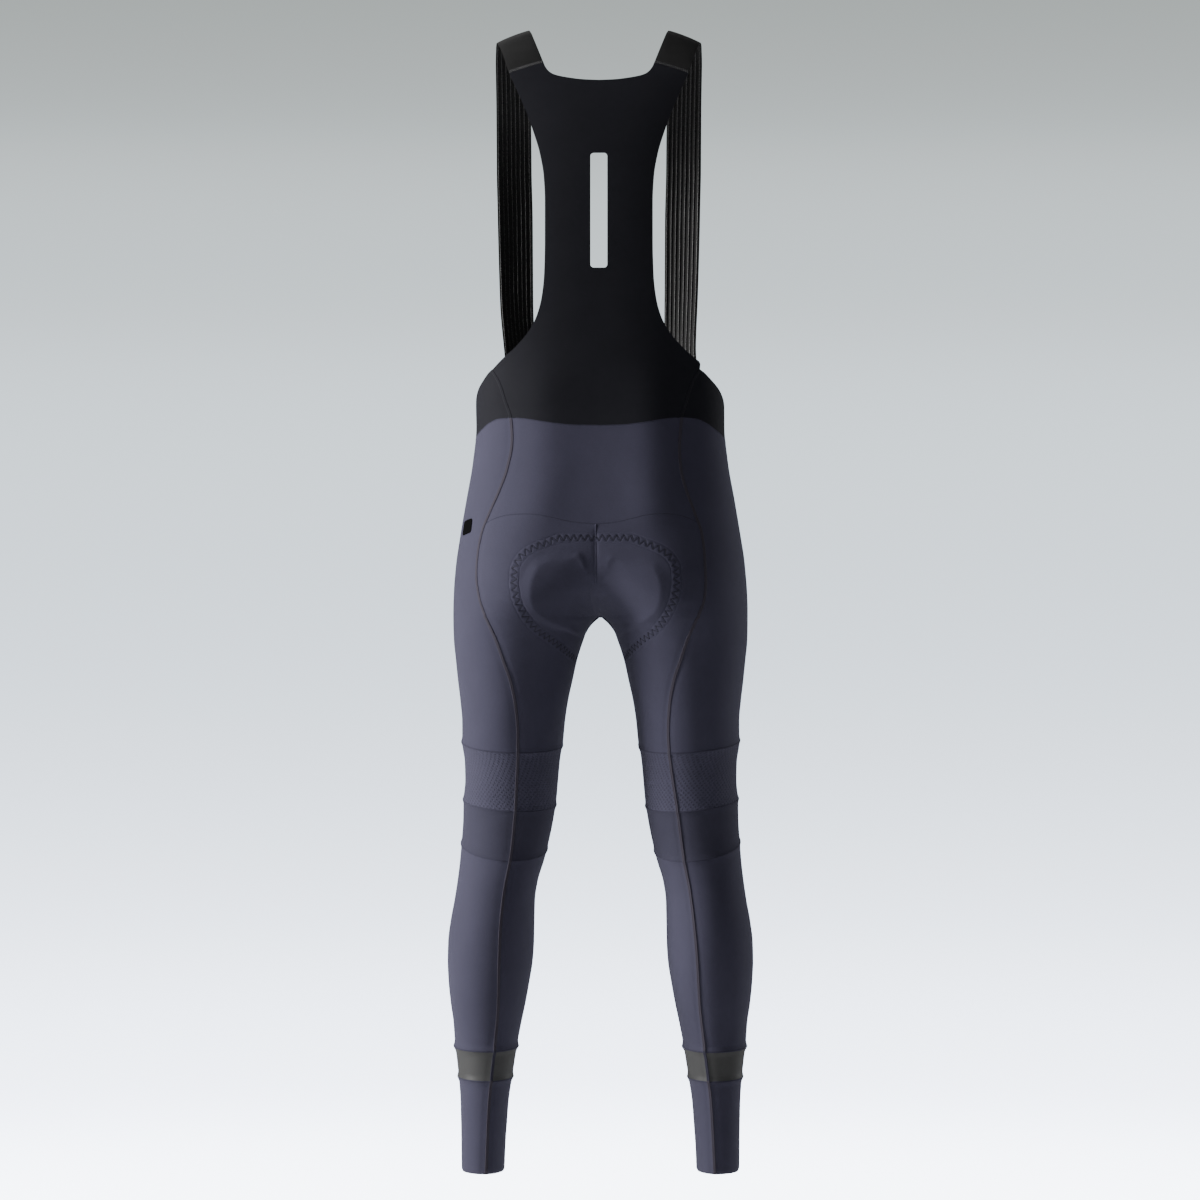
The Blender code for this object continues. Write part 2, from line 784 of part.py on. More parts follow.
def bib_sheet(side_sign):
    """One half of the back of the bib, as outer and inner points and faces."""
    inner_line, outer_line = bib_outline(side_sign)
    shares = np.linspace(0, 1, SEAT_CELLS + 1)
    spread = inner_line[:, None, :] + (outer_line - inner_line)[:, None, :] * shares[None, :, None]
    foot_down = through(YOKE_TOP, shares) - SEAM_GAP / 2
    foot = surface(slipped(whole_back(shares, foot_down), foot_down, side_sign), foot_down)
    true_foot = np.stack([foot[:, 0], foot_down], axis=1)
    fade = np.clip(1 - np.arange(len(inner_line)) / SIDE_ROWS, 0, 1)
    spread = spread + fade[:, None, None] * (true_foot - spread[0])[None, :, :]
    flat = spread[::-1].reshape(-1, 2)
    points = back_points(flat[:, 0], flat[:, 1])
    inner = points - WALL * normals(points)
    return (points, inner), grid_faces(len(inner_line) - 1, SEAT_CELLS)


def slot_cutter():
    """A rounded bar that cuts the slot through the back of the bib."""
    width = 2 * SLOT_HALF_WIDTH * MM
    height = (SLOT_LOW - SLOT_TOP) * MM
    shape = bmesh.new()
    bmesh.ops.create_cube(shape, size=1.0)
    bmesh.ops.scale(shape, vec=(width, CUT_DEPTH * MM, height), verts=shape.verts)
    deep = [edge for edge in shape.edges if edge.verts[0].co.y * edge.verts[1].co.y < 0]
    corner = SLOT_CORNER * MM
    bmesh.ops.bevel(shape, geom=deep, offset=corner, segments=4, affect="EDGES", profile=0.5)
    middle = (SLOT_TOP + SLOT_LOW) / 2
    place = (0, back_points(0.0, middle)[1] * MM, -middle * MM)
    bmesh.ops.translate(shape, vec=place, verts=shape.verts)
    mesh = bpy.data.meshes.new("slot_cutter")
    shape.to_mesh(mesh)
    shape.free()
    cutter = bpy.data.objects.new("slot_cutter", mesh)
    cutter.hide_render = True
    cutter.display_type = "WIRE"
    bpy.context.scene.collection.objects.link(cutter)
    return cutter


def make_back_bib():
    """The racer-shaped back, with its slot and the two tabs that the straps are sewn to."""
    left, faces = bib_sheet(1)
    right, _ = bib_sheet(-1)
    bib = wall("back_bib", *across_middle(left, right, faces), BLACK)
    cut = bib.modifiers.new("slot", "BOOLEAN")
    cut.operation = "DIFFERENCE"
    cut.solver = "EXACT"
    cut.object = slot_cutter()


def strap_edges(side_sign):
    """Middle, width and bow at each station of a strap, as on the left."""
    rows = {name: table_column(STRAP_COLUMNS, STRAP, name) for name in STRAP_COLUMNS.split()}
    outer = np.stack([rows["x_out"], rows["y_out"], -rows["down"] - rows["rise"]], axis=1)
    neck = np.stack([rows["x_in"], rows["y_in"], -rows["down"] + rows["rise"]], axis=1)
    tab_down, tab_x = BIB_EDGE[-1]
    neck_x, neck_down = NECKLINE[-1]
    tab = back_points(np.array([tab_x, neck_x], float), np.array([tab_down, neck_down], float))
    tab[:, 2] += SEAM_GAP
    foot_down = through(FRONT_TOP, np.array(STRAP_FOOT_SHARES)) - SEAM_GAP
    foot_share = slipped(whole_front(np.array(STRAP_FOOT_SHARES), foot_down), foot_down, side_sign)
    foot = surface(foot_share, foot_down)
    outer = np.concatenate([tab[:1], outer, foot[:1]])
    neck = np.concatenate([tab[1:], neck, foot[1:]])
    bow = np.concatenate([[0.5], rows["bow"], [STRAP_FOOT_BOW]])
    shares = np.linspace(0, 1, STRAP_STATIONS + 1)
    middle = (outer + neck) / 2
    combined = np.concatenate([middle, neck - outer, bow[:, None]], axis=1)
    chords = np.linalg.norm(np.diff(middle, axis=0), axis=1)
    length = np.concatenate([[0], np.cumsum(chords)])
    at = shares * length[-1]
    return np.stack([smooth_curve(length, column, at) for column in combined.T], axis=1)


def make_strap(side):
    """One strap, plain outside and ribbed lengthwise on the side of the body."""
    stations = strap_edges(1 if side == "left" else -1)
    middle = stations[:, :3]
    width = stations[:, 3:6]
    bow = stations[:, 6]
    forward = np.gradient(middle, axis=0)
    out = np.cross(width, forward)
    out = out / np.linalg.norm(out, axis=1, keepdims=True)
    ribbed = np.linspace(0.5, -0.5, 2 * STRAP_RIBS + 1)
    plain = np.linspace(-0.5, 0.5, 5)
    places = np.concatenate([ribbed, plain])
    peak = np.arange(len(ribbed)) % 2 == 1
    depth = np.concatenate([STRAP_WALL + RIB_HEIGHT * peak, np.zeros(len(plain))])
    points = []
    for i in range(len(stations)):
        arch = bow[i] * (1 - (2 * places) ** 2) - depth
        ring = middle[i] + places[:, None] * width[i] + arch[:, None] * out[i]
        points.append(ring)
    points = np.concatenate(points)
    if side == "right":
        points = mirror_points(points)
    count = len(places)
    faces = [tuple(range(count)), tuple(range(len(points) - 1, len(points) - count - 1, -1))]
    for j in range(len(stations) - 1):
        for i in range(count):
            a = j * count + i
            b = j * count + (i + 1) % count
            faces.append((a, b, b + count, a + count))
    add_object(f"strap_{side}", points, faces, BLACK, 0.7)


def pad_line():
    """Points down the middle of the pad, from the seat under the crotch to the front."""
    dip = np.sin(np.linspace(0, math.pi / 2, 60))
    back_down = PAD_TOP + (CROTCH - PAD_TOP) * dip
    front_down = (PAD_FRONT + (CROTCH - PAD_FRONT) * dip)[::-1]
    back = surface(np.ones(len(back_down)), back_down)
    front = surface(np.zeros(len(front_down)), front_down)
    return np.concatenate([back, front[1:]])


def walk(points, reach, steps=60):
    """Paths over the body from points of its middle, straight out to the left."""
    heading = np.tile([1.0, 0.0, 0.0], (len(points), 1))
    path = [points]
    for _ in range(steps):
        points = points + heading * (reach / steps)[:, None]
        for _ in range(3):
            slope = gradient(points)
            points = points - (field(points) / (slope**2).sum(axis=1))[:, None] * slope
        out = normals(points)
        heading = heading - (heading * out).sum(axis=1)[:, None] * out
        heading = heading / np.linalg.norm(heading, axis=1, keepdims=True)
        path.append(points)
    return np.stack(path, axis=1)


def make_pad():
    """The seat pad, which lies inside the seat just clear of the cloth."""
    rows = {name: table_column(PAD_COLUMNS, PAD, name) for name in PAD_COLUMNS.split()}
    line = pad_line()
    run = np.concatenate([[0], np.cumsum(np.linalg.norm(np.diff(line, axis=0), axis=1))])
    at = np.concatenate([[0, 7, 16], np.linspace(30, run[-1] - 16, 12), [run[-1] - 6, run[-1]]])
    middle = np.stack([np.interp(at, run, column) for column in line.T], axis=1)
    middle[:, 0] = 0
    scaled = rows["along"] * run[-1] / rows["along"][-1]
    half_width = smooth_curve(scaled, rows["half_width"], at)
    thick = smooth_curve(scaled, rows["thickness"], at)
    paths = walk(middle, half_width)
    columns = np.array([0, 6, 13, 21, 30, 39, 48, 55, 60])
    points = paths[:, columns].reshape(-1, 3)
    across = np.tile(columns / 60, len(at))
    edge = np.repeat(thick, len(columns))
    depth = PAD_EDGE + (edge - PAD_EDGE) * np.clip((1 - across) / 0.25, 0, 1)
    into = -normals(points)
    near = points + (WALL + PAD_CLEARANCE) * into
    far = near + depth[:, None] * into
    for sheet in (near, far):
        sheet[:: len(columns), 0] = 0
    faces = grid_faces(len(at) - 1, len(columns) - 1)
    wall("pad", *across_middle((near, far), (near, far), faces), PAD_GREY)


def make_label():
    """A small square sewn on the left hip, laid over the points of the panel under it."""
    thigh = bpy.data.objects["thigh_left"]
    tree = BVHTree.FromObject(thigh, bpy.context.evaluated_depsgraph_get())
    centre = back_points(np.array([float(LABEL_X)]), np.array([float(LABEL_DOWN)]))
    out = Vector(normals(centre)[0])
    centre = Vector(centre[0])
    across = Vector((0, 0, 1)).cross(out).normalized()
    up = out.cross(across)
    right = across * math.cos(LABEL_TILT) + up * math.sin(LABEL_TILT)
    top = out.cross(right)
    places = np.linspace(-0.5, 0.5, LABEL_CELLS + 1)
    low, high = [], []
    for v in places:
        for w in places:
            pull = 1 - LABEL_CORNER_PULL * (2 * v) ** 4 * (2 * w) ** 4
            aim = centre + right * (w * pull * LABEL_WIDTH) + top * (v * pull * LABEL_HEIGHT)
            hit, _, _, _ = tree.ray_cast((aim + out * 30) * MM, -out)
            low.append(np.array(hit) / MM + SEAM_GAP * np.array(out))
            high.append(low[-1] + LABEL_WALL * np.array(out))
    wall("hip_label", np.array(high), np.array(low), grid_faces(LABEL_CELLS, LABEL_CELLS), BLACK, 0.6)


def take_stance(mesh):
    """Leans and turns the points of a mesh as the filled garment stands."""
    count = len(mesh.vertices)
    points = np.zeros(3 * count)
    mesh.vertices.foreach_get("co", points)
    points = points.reshape(-1, 3)
    rows = {name: table_column(STANCE_COLUMNS, STANCE, name) for name in STANCE_COLUMNS.split()}
    down = -points[:, 2] / MM
    lean = smooth_curve(rows["down"], rows["lean"], down) * MM
    turn = np.radians(smooth_curve(rows["down"], rows["degrees"], down))
    x = points[:, 0] * np.cos(turn) + points[:, 1] * np.sin(turn) + lean
    y = points[:, 1] * np.cos(turn) - points[:, 0] * np.sin(turn)
    mesh.vertices.foreach_set("co", np.stack([x, y, points[:, 2]], axis=1).ravel())
    mesh.update()


def main():
    for piece in list(bpy.data.objects):
        bpy.data.objects.remove(piece, do_unlink=True)
    make_back_bib()
    make_front_bib()
    make_strap("left")
    make_strap("right")
    make_yoke()
    make_seats()
    make_thighs()
    make_tube("knee_upper", KNEE_TOP, KNEE_MIDDLE, False, SLATE)
    make_tube("knee_lower", KNEE_MIDDLE, KNEE_LOW, False, SLATE_DARK)
    make_tube("calf", KNEE_LOW, BAND_TOP, False, SLATE)
    make_tube("ankle_band", BAND_TOP, BAND_LOW, False, OLIVE)
    make_tube("cuff", BAND_LOW, HEM_EDGE, True, SLATE)
    make_label()
    make_pad()
    for piece in bpy.data.objects:
        take_stance(piece.data)


main()
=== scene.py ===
"""The looks of the long bib tights: fine cloth, sewing, materials, light and camera.

Tables and constants are in millimetres, as in the part's own source, and meshes are in metres.
The garment hangs from its straps, +Z is up, the front faces -Y and the wearer's left is at +X.
"""

import math

import bmesh
import bpy
import numpy as np
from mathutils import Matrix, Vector


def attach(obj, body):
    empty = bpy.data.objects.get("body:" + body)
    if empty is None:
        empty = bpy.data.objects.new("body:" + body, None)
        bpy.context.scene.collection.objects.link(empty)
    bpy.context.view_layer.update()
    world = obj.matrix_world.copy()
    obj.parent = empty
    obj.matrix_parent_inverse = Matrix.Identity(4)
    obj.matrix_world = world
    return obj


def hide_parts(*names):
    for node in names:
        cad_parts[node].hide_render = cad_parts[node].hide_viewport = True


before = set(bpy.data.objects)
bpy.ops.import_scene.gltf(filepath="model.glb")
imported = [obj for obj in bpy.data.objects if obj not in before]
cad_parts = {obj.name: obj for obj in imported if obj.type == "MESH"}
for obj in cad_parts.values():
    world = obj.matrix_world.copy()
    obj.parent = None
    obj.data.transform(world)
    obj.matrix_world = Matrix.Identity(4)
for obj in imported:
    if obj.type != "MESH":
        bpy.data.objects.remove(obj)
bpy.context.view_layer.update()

MM = 0.001
SIDES = {"left": 1, "right": -1}
WALL = 1.4
CREASE = 10.0
CROTCH = 712
CROTCH_LINE_AT_SIDE = 726
BIB_CORNER = 411
HEM = 1390

# Half-sections of the trunk, as in the part's own source
TRUNK_COLUMNS = "down outer reach lobe front back square"
TRUNK = [
    (10, 190, 510, 0, 20, 14, 2.40),
    (25, 190, 510, 0, 55, 33, 2.40),
    (40, 190, 510, 0, 70, 50, 2.40),
    (60, 189, 510, 0, 80, 66, 2.40),
    (100, 185, 510, 0, 95, 88, 2.40),
    (150, 178, 510, 0, 106, 101, 2.40),
    (200, 172, 510, 0, 112, 104, 2.40),
    (260, 165, 510, 0, 110, 101, 2.40),
    (320, 158, 510, 0, 105, 93, 2.40),
    (380, 153, 510, 0, 101, 86, 2.40),
    (411, 151, 510, 0, 100, 84, 2.40),
    (455, 153, 510, 0, 100, 84, 2.38),
    (478, 153, 510, 10, 102, 86, 2.36),
    (520, 157, 510, 25, 106, 94, 2.30),
    (570, 165.5, 510, 45, 106, 106, 2.25),
    (620, 174, 250, 62, 103, 116, 2.15),
    (640, 177, 160, 69, 101, 119, 2.10),
    (660, 179, 100, 76, 98, 121, 2.06),
    (675, 180.3, 60, 82, 95.5, 120.5, 2.03),
    (690, 181, 25, 88, 92, 119, 2.00),
    (700, 181.3, 11, 92, 90, 116, 2.00),
]

# Sections of the left leg
LEG_COLUMNS = "down outer inner front back middle"
LEG = [
    (712, 181.4, 0, 88, 112, 0),
    (714, 181.4, 4, 88, 111.1, 0),
    (721, 181.4, 11.5, 87.7, 107.6, 0),
    (730, 181.3, 17.8, 87, 104, -0.5),
    (740, 181, 21.5, 86, 100, -1),
    (765, 178.5, 29.5, 85, 93, -2),
    (790, 176, 35, 84, 88, -2.5),
    (815, 173, 40.5, 81, 84, -3),
    (840, 171, 44.5, 78, 79, -3.5),
    (865, 171, 47, 74, 74, -4),
    (890, 168, 50.5, 70, 68, -5),
    (913, 167.5, 52.5, 66, 64, -5.5),
    (937, 169.5, 54.5, 63, 61, -6),
    (962, 170, 58.5, 60, 59, -5),
    (986, 171.5, 63.5, 58, 57, -4),
    (1011, 173.5, 69.5, 56, 58, -2),
    (1036, 176.5, 77, 54, 61, 0),
    (1060, 180, 80.5, 52, 65, 2),
    (1085, 184.5, 81, 51, 68, 3),
    (1110, 187.5, 81.5, 50, 69, 4),
    (1134, 188, 83, 48, 68, 5),
    (1160, 187, 87, 46, 64, 6),
    (1184, 184.5, 91.5, 44, 59, 7),
    (1208, 181, 96.5, 42, 53, 8),
    (1232, 179, 101, 40, 48, 10),
    (1257, 176, 105, 38, 45, 11),
    (1282, 173.5, 109, 37, 42, 12),
    (1306, 172, 112.5, 36, 41, 13),
    (1331, 171.5, 114.5, 36, 40, 13.5),
    (1355, 171, 116, 36, 39.5, 14),
    (1392, 170.5, 117.5, 36, 39, 14),
]

# The seam down the back of each side: how far it lies from the middle of the garment
SIDE_SEAM = [
    (411, 127),
    (427, 117.5),
    (450, 110),
    (470, 103.5),
    (502, 101.5),
    (531, 105),
    (556, 112.5),
    (584, 124),
    (611, 134),
    (638, 138),
    (664, 139),
    (688, 136.5),
    (710, 129),
    (739, 116),
    (765, 107),
    (790, 98.5),
    (825, 92.5),
    (852, 91),
    (875, 92),
    (913, 95.5),
    (947, 99),
    (1006, 106),
    (1043, 113),
    (1085, 118),
    (1134, 121),
    (1183, 123),
    (1239, 129),
    (1306, 136),
    (1392, 140),
]

# How far the filled garment leans to its left and turns about its own axis, down its length
STANCE_COLUMNS = "down lean degrees"
STANCE = [
    (-20, 2.0, 0),
    (320, 2.0, 0),
    (400, 1.1, 0.9),
    (440, 0.6, 1.5),
    (480, 0.1, 2.0),
    (520, 0, 2.4),
    (620, 0, 3.0),
    (900, 0, 3.0),
    (1100, 0, 2.5),
    (1250, 0, 1.0),
    (1392, 0, 0),
]

# How far both side seams have slipped round to the wearer's left, down the garment
SEAM_SLIP = [
    (411, 5),
    (490, 3),
    (540, 5.5),
    (600, 8),
    (650, 9.5),
    (700, 6.5),
    (760, 6),
    (850, 6),
    (900, 4.5),
    (960, 2),
    (1080, 1),
    (1130, 0),
    (1392, 0),
]

# Edges across the trunk, as share of the way from the middle to the side seam, and down
FRONT_TOP = [
    (0, 430),
    (0.16, 424),
    (0.27, 418),
    (0.46, 418),
    (0.52, 421),
    (0.56, 428),
    (0.6, 436),
    (0.65, 446),
    (0.7, 453),
    (0.77, 443),
    (0.82, 434.5),
    (0.875, 426.5),
    (0.965, 414.5),
    (1, 410.5),
]
BLACK_EDGE = [
    (0, 518),
    (0.3, 516),
    (0.55, 508),
    (0.69, 496),
    (0.76, 490.5),
    (0.825, 483.6),
    (0.885, 475.7),
    (0.935, 471.3),
    (1, 470),
]
YOKE_TOP = [(0, 480), (0.28, 479.5), (0.45, 478), (0.61, 475.7), (0.78, 472.4), (0.94, 470.4), (1, 470)]
YOKE_LOW = [
    (0, 599.5),
    (0.2, 597),
    (0.33, 593.5),
    (0.5, 589),
    (0.65, 587.5),
    (0.8, 588.6),
    (0.9, 592),
    (1, 598),
]

# Edges round the leg: down at the inside, at the outside and at the middle of the back
KNEE_TOP = (871, 864, 876)
KNEE_MIDDLE = (944, 935, 948)
KNEE_LOW = (999, 988, 1008)
BAND_TOP = (1238, 1238, 1240)
BAND_LOW = (1275, 1275, 1277)
HEM_EDGE = (HEM, HEM, HEM)

# The seams round the leg: how far each stands out, and how wide its swell is
RINGS_FROM = 800
RING_SWELLS = [
    ("knee_top", KNEE_TOP, 1.1, 3.5),
    ("knee_middle", KNEE_MIDDLE, 1.0, 3.5),
    ("knee_low", KNEE_LOW, 0.9, 3.5),
    ("band_top", BAND_TOP, 2.0, 4.0),
    ("band_low", BAND_LOW, 1.6, 4.0),
]

# The back of the bib
BIB_EDGE = [
    (411, 127),
    (404, 123.5),
    (396, 115),
    (384, 101),
    (364, 84),
    (348, 75.5),
    (325, 69.2),
    (298, 66.2),
    (258, 65.1),
    (210, 65),
    (181, 66.4),
    (151, 71.5),
    (127, 78.6),
    (103, 87),
    (73, 99),
    (49.5, 109),
]
NECKLINE = [
    (0, 59.5),
    (20, 58.6),
    (36, 56.4),
    (48, 54),
    (56, 51.3),
    (62, 46.5),
    (65.7, 40.5),
    (67.5, 35.6),
]
SLOT_HALF_WIDTH = 10.2
SLOT_TOP = 152
SLOT_LOW = 290
SLOT_CORNER = 4.0
CUT_DEPTH = 60.0

# The straps: middle height, how far the neck edge stands above it, both edges' x and y, and bow
STRAP_COLUMNS = "down rise x_out x_in y_out y_in bow"
STRAP = [
    (15.3, 7, 118, 78, 29, 26, 0.5),
    (2, 7.5, 123.2, 83.5, 14, 13, 1),
    (-2, 7.7, 125.8, 86.2, -1, -1, 1),
    (4, 7, 127, 87.3, -17, -15, 1),
    (18.5, 5, 127.7, 87, -31, -29, 1),
    (45, 3, 127.8, 85.8, -48, -48, 0.5),
    (74, 1.5, 127.8, 85.2, -66, -68, 0.5),
    (108, 0, 128, 84.7, -83, -89, 1),
    (150, 0, 128.1, 84.6, -96, -105, 1),
    (205, 0, 127.2, 83.5, -104, -115, 1.5),
    (260, 0, 125.9, 83.1, -102, -114, 1.5),
    (320, 0, 123.8, 82.6, -92, -106, 1.5),
    (375, 0, 120.2, 81, -78, -97, 1.5),
]
STRAP_STATIONS = 260
STRAP_FACE_POINTS = 13
STRAP_RIBS = 8
STRAP_WALL = 1.2
STRAP_EDGE_THINNED = 0.35
RIB_HEIGHT = 1.1
RIB_WIDTH = 2.3
RIB_SUNK = 0.15
RIB_SWAY = 0.10
STRAP_FOOT_SHARES = (0.46, 0.27)
STRAP_FOOT_BOW = 2.0

# The seat pad
PAD_TOP = 616
PAD_FRONT = 662
PAD_CLEARANCE = 1.3
PAD_COLUMNS = "along half_width thickness"
PAD = [
    (0, 45, 2.5),
    (7, 64, 3.5),
    (22, 92, 5),
    (45, 104, 6),
    (70, 102, 6),
    (95, 88, 6),
    (120, 72, 6),
    (150, 58, 6),
    (185, 55, 5.5),
    (225, 56, 5),
    (250, 50, 4),
    (266, 38, 2.5),
]
PAD_EDGE = 2.0
PAD_EDGE_SHARE = 0.28
PAD_CHANNELS = [(0.34, 0.035), (0, 0.03)]
PAD_CHANNEL_DEPTH = 1.6

# The line of the pad's stitching on the cloth, as x and down, at the back and at the front
STITCH_BACK = [
    (0, 616),
    (42, 616.5),
    (57, 621.5),
    (75, 628.5),
    (88, 637),
    (97, 653),
    (98, 670),
    (95, 688),
    (85, 710),
    (74, 725),
    (55, 740),
    (41, 752),
    (31, 762),
]
STITCH_FRONT = [(31, 762), (41, 750), (52, 730), (58, 708), (54, 684), (38, 667), (0, 661)]

# The firm inserts of the pad, which show as a tilted round plate on each side of the seat: how
# far the plate's edge lies from its middle at each angle, how high it stands, and how far it
# takes to fall back to the cloth round it; inside, the plate rises from its inner to its outer side
INSERT_X = 42
INSERT_DOWN = 686
INSERT_COLUMNS = "angle radius height fall"
INSERT = [
    (-180, 42, -2.0, 14),
    (-140, 47, -1.2, 12),
    (-115, 49, 1.6, 5),
    (-92, 37, 2.6, 6),
    (-53, 33.2, 2.9, 9),
    (-32, 35.2, 2.9, 11),
    (-14, 35.5, 2.9, 13),
    (8, 36.8, 2.9, 13),
    (27, 38.9, 2.9, 13),
    (41, 41.1, 2.7, 12),
    (53, 43.6, 2.3, 12),
    (65, 43.1, 1.8, 12),
    (91, 42.5, 1.3, 12),
    (105, 46.1, 1.4, 10),
    (114, 51, 1.6, 8),
    (137, 41.8, 0.4, 7),
    (158, 40.7, -1.0, 8),
    (171, 43, -1.8, 12),
    (180, 42, -2.0, 14),
]
PLATE_INSIDE = (4, -2.2)
PLATE_OUTSIDE = {1: (80, 2.9), -1: (80, 2.0), 0: (80, 2.4)}
PLATE_POWER = {1: 0.62, -1: 1.3, 0: 1.0}
PLATE_RIM_POWER = 6
PLATE_FALL_POWER = 1.3

# The low ridge that the loins raise beside the spine, across the yoke and the foot of the bib;
# a span is how far down a form starts, is full, starts to fade and ends
LOIN_X = 66
LOIN_WIDTH = 30
LOIN_HEIGHT = 3.3
LOIN_SPAN = (370, 450, 575, 625)

# The valley down the middle of the seat, and the trough that the pad's stitches pull
VALLEY_DEPTH = 1.3
VALLEY_WIDTH = 3.0
VALLEY_SPAN = (600, 614, 692, 716)
TROUGH_DEPTH = 1.5
TROUGH_REACH = 5.7
TROUGH_TOP = 595
TROUGH_LOW = 780

# How high the tight side seam draws the cloth into a soft edge down the back of the lower leg,
# the slight dips beside the seam, the hem's rounded edge, and the unevenness of stretched cloth
SEAM_EDGE = [(850, 0), (890, 1.0), (960, 1.6), (1200, 1.8), (1245, 3.4), (1392, 3.6)]
SEAM_EDGE_WIDTH = 11.0
SEAM_DIP = 0.4
SEAM_DIP_AT = 4.6
SEAM_DIP_WIDTH = 2.2
HEM_TURN = 1.3
HEM_ROUNDING = 4.0
SLACK_LOW = 0.16
SLACK_FINE = 0.05

# The label on the wearer's left hip; its rings run inward from its edge, as inset and height
LABEL_X = 160
LABEL_DOWN = 602
LABEL_WIDTH = 26
LABEL_HEIGHT = 18
LABEL_TILT = math.radians(9)
LABEL_RINGS = [(0, 0.1), (0, 0.75), (0.5, 0.9), (2.2, 0.9), (2.6, 0.72), (3.2, 0.85)]
LABEL_POINTS = 96
LABEL_SQUARENESS = 7
LABEL_LIFT = 12

# Sizes of the fine cells, and of the sewing
CELL = 3.0
SEAT_CELL = 2.0
BIB_CELL = 4.0
RIBBON_STEP = 1.6
FLATLOCK_WIDTH = 3.8
FLATLOCK_HEIGHT = 0.42
RIDGE_WIDTH = 2.6
RIDGE_HEIGHT = 0.9
BONDED_WIDTH = 2.0
BONDED_HEIGHT = 0.25
ZIGZAG_PITCH = 8.6
ZIGZAG_HEIGHT = 7.6
ZIGZAG_GROOVE = 0.6
ZIGZAG_GROOVE_WIDTH = 0.95
ZIGZAG_THREAD = 0.5
PUCKER_HALF_WIDTH = 6.4
PUCKER_SWELL = 0.25
PUCKER_WALL = 1.9
TAB_PITCH = 2.6
TAB_ZIGZAG = 4.4
TAB_THREAD = 0.36

# The flat size of each cut panel, across and down, in metres, and the bib's area after its shape
FLAT = {
    "seat": (0.17, 0.31),
    "thigh": (0.38, 0.40),
    "back_yoke": (0.26, 0.13),
    "front_bib": (0.56, 0.09),
    "back_bib": (0.25, 0.45),
    "knee_upper": (0.39, 0.075),
    "knee_lower": (0.36, 0.06),
    "calf": (0.36, 0.25),
    "ankle_band": (0.25, 0.04),
    "cuff": (0.22, 0.115),
    "strap": (0.044, 0.53),
}
BIB_AREA = 0.075

# Colours
SLATE = (0.098, 0.094, 0.150)
SLATE_MESH = (0.122, 0.117, 0.184)
SLATE_DARK = (0.082, 0.079, 0.124)
BLACK = (0.0225, 0.0225, 0.031)
SEAM = (0.092, 0.081, 0.112)
OLIVE = (0.108, 0.109, 0.110)
PAD_GREY = (0.13, 0.13, 0.14)
STRAP_BLACK = (0.0155, 0.0155, 0.016)
# The ridges' near-black is set lighter than the band's: partly their own tone, partly painted highlight
# for the glints on the ribs.
RIB_TONE_AND_GLINT = (0.034, 0.034, 0.036)
TAB_GREY = (0.2, 0.2, 0.21)
LABEL_BLACK = (0.003, 0.003, 0.0032)
NAP_TINT = (0.75, 0.75, 0.95, 1)
MESH_PITCH = 5.8
THREAD_PERIOD = 1.7

# The camera: how far off it stands, where, and the size of the photo's frame at the garment
CAMERA_DISTANCE = 5.0
CAMERA_PLACE = (0.0006, CAMERA_DISTANCE, -0.691)
FRAME_HEIGHT = 1200 * 1.23 * MM
SENSOR = 36.0

# The lights, in metres and watts: a broad key from the wearer's left, and a rim from behind
LIGHTS = [
    ("key", (3.14, 0.57, 0.4), (0, 0, -0.45), (1.0, 2.4), 126, (1.0, 0.99, 0.98)),
    ("rim", (-2.45, -1.72, -0.5), (0, 0, -0.75), (0.6, 2.4), 10.5, (0.98, 0.99, 1.0)),
]

# The background behind the garment: its shade by the way down the frame, as a share of the
# stops between its darkest and its lightest, its tints, and how much it lights the garment
BACKGROUND_TOP = 0.1476
BACKGROUND_STOPS = 4.1
BACKGROUND_LEAST = -0.66
BACKGROUND_SHADE = [
    (0, 0),
    (0.08, 0.07),
    (0.163, 0.188),
    (0.25, 0.24),
    (0.33, 0.317),
    (0.5, 0.39),
    (0.583, 0.44),
    (0.667, 0.517),
    (0.75, 0.61),
    (0.833, 0.73),
    (0.917, 0.82),
    (1, 1),
]
BACKGROUND_TINTS = [(0.76, 0.83, 0.82, 1), (0.73, 0.83, 0.92, 1), (0.77, 0.83, 1.0, 1)]
BACKGROUND_TINT_MIDDLE = 0.45
SURROUND = 0.12
SURROUND_TINT = (0.97, 0.98, 1.0, 1)

# The floor: a wide disc that glows to the camera alone, and fades out between two distances
FLOOR_RADIUS = 3.2
FLOOR_Z = -1.62
FLOOR_COLOUR = (0.85, 0.86, 0.87, 1)
FLOOR_GLOW = 7.0
FLOOR_GLOW_TINT = (0.93, 1.0, 1.1, 1)
FLOOR_FADE = (0.9, 3.0)


def table(columns, rows):
    """The named columns of a table."""
    return dict(zip(columns.split(), np.array(rows, float).T))


def smooth_curve(knots, values, at):
    """A monotone cubic through the knots, which never swings past them."""
    knots = np.asarray(knots, float)
    values = np.asarray(values, float)
    step = np.diff(knots)
    rise = np.diff(values) / step
    slope = np.zeros_like(values)
    slope[0] = rise[0]
    slope[-1] = rise[-1]
    turning = rise[:-1] * rise[1:] <= 0
    before = np.where(turning, 1, rise[:-1])
    after = np.where(turning, 1, rise[1:])
    near = 2 * step[1:] + step[:-1]
    far = step[1:] + 2 * step[:-1]
    slope[1:-1] = np.where(turning, 0, (near + far) / (near / before + far / after))
    at = np.clip(at, knots[0], knots[-1])
    i = np.clip(np.searchsorted(knots, at, side="right") - 1, 0, len(step) - 1)
    t = (at - knots[i]) / step[i]
    start = (1 + 2 * t) * (1 - t) ** 2 * values[i] + t * (1 - t) ** 2 * step[i] * slope[i]
    end = t * t * (3 - 2 * t) * values[i + 1] + t * t * (t - 1) * step[i] * slope[i + 1]
    return start + end


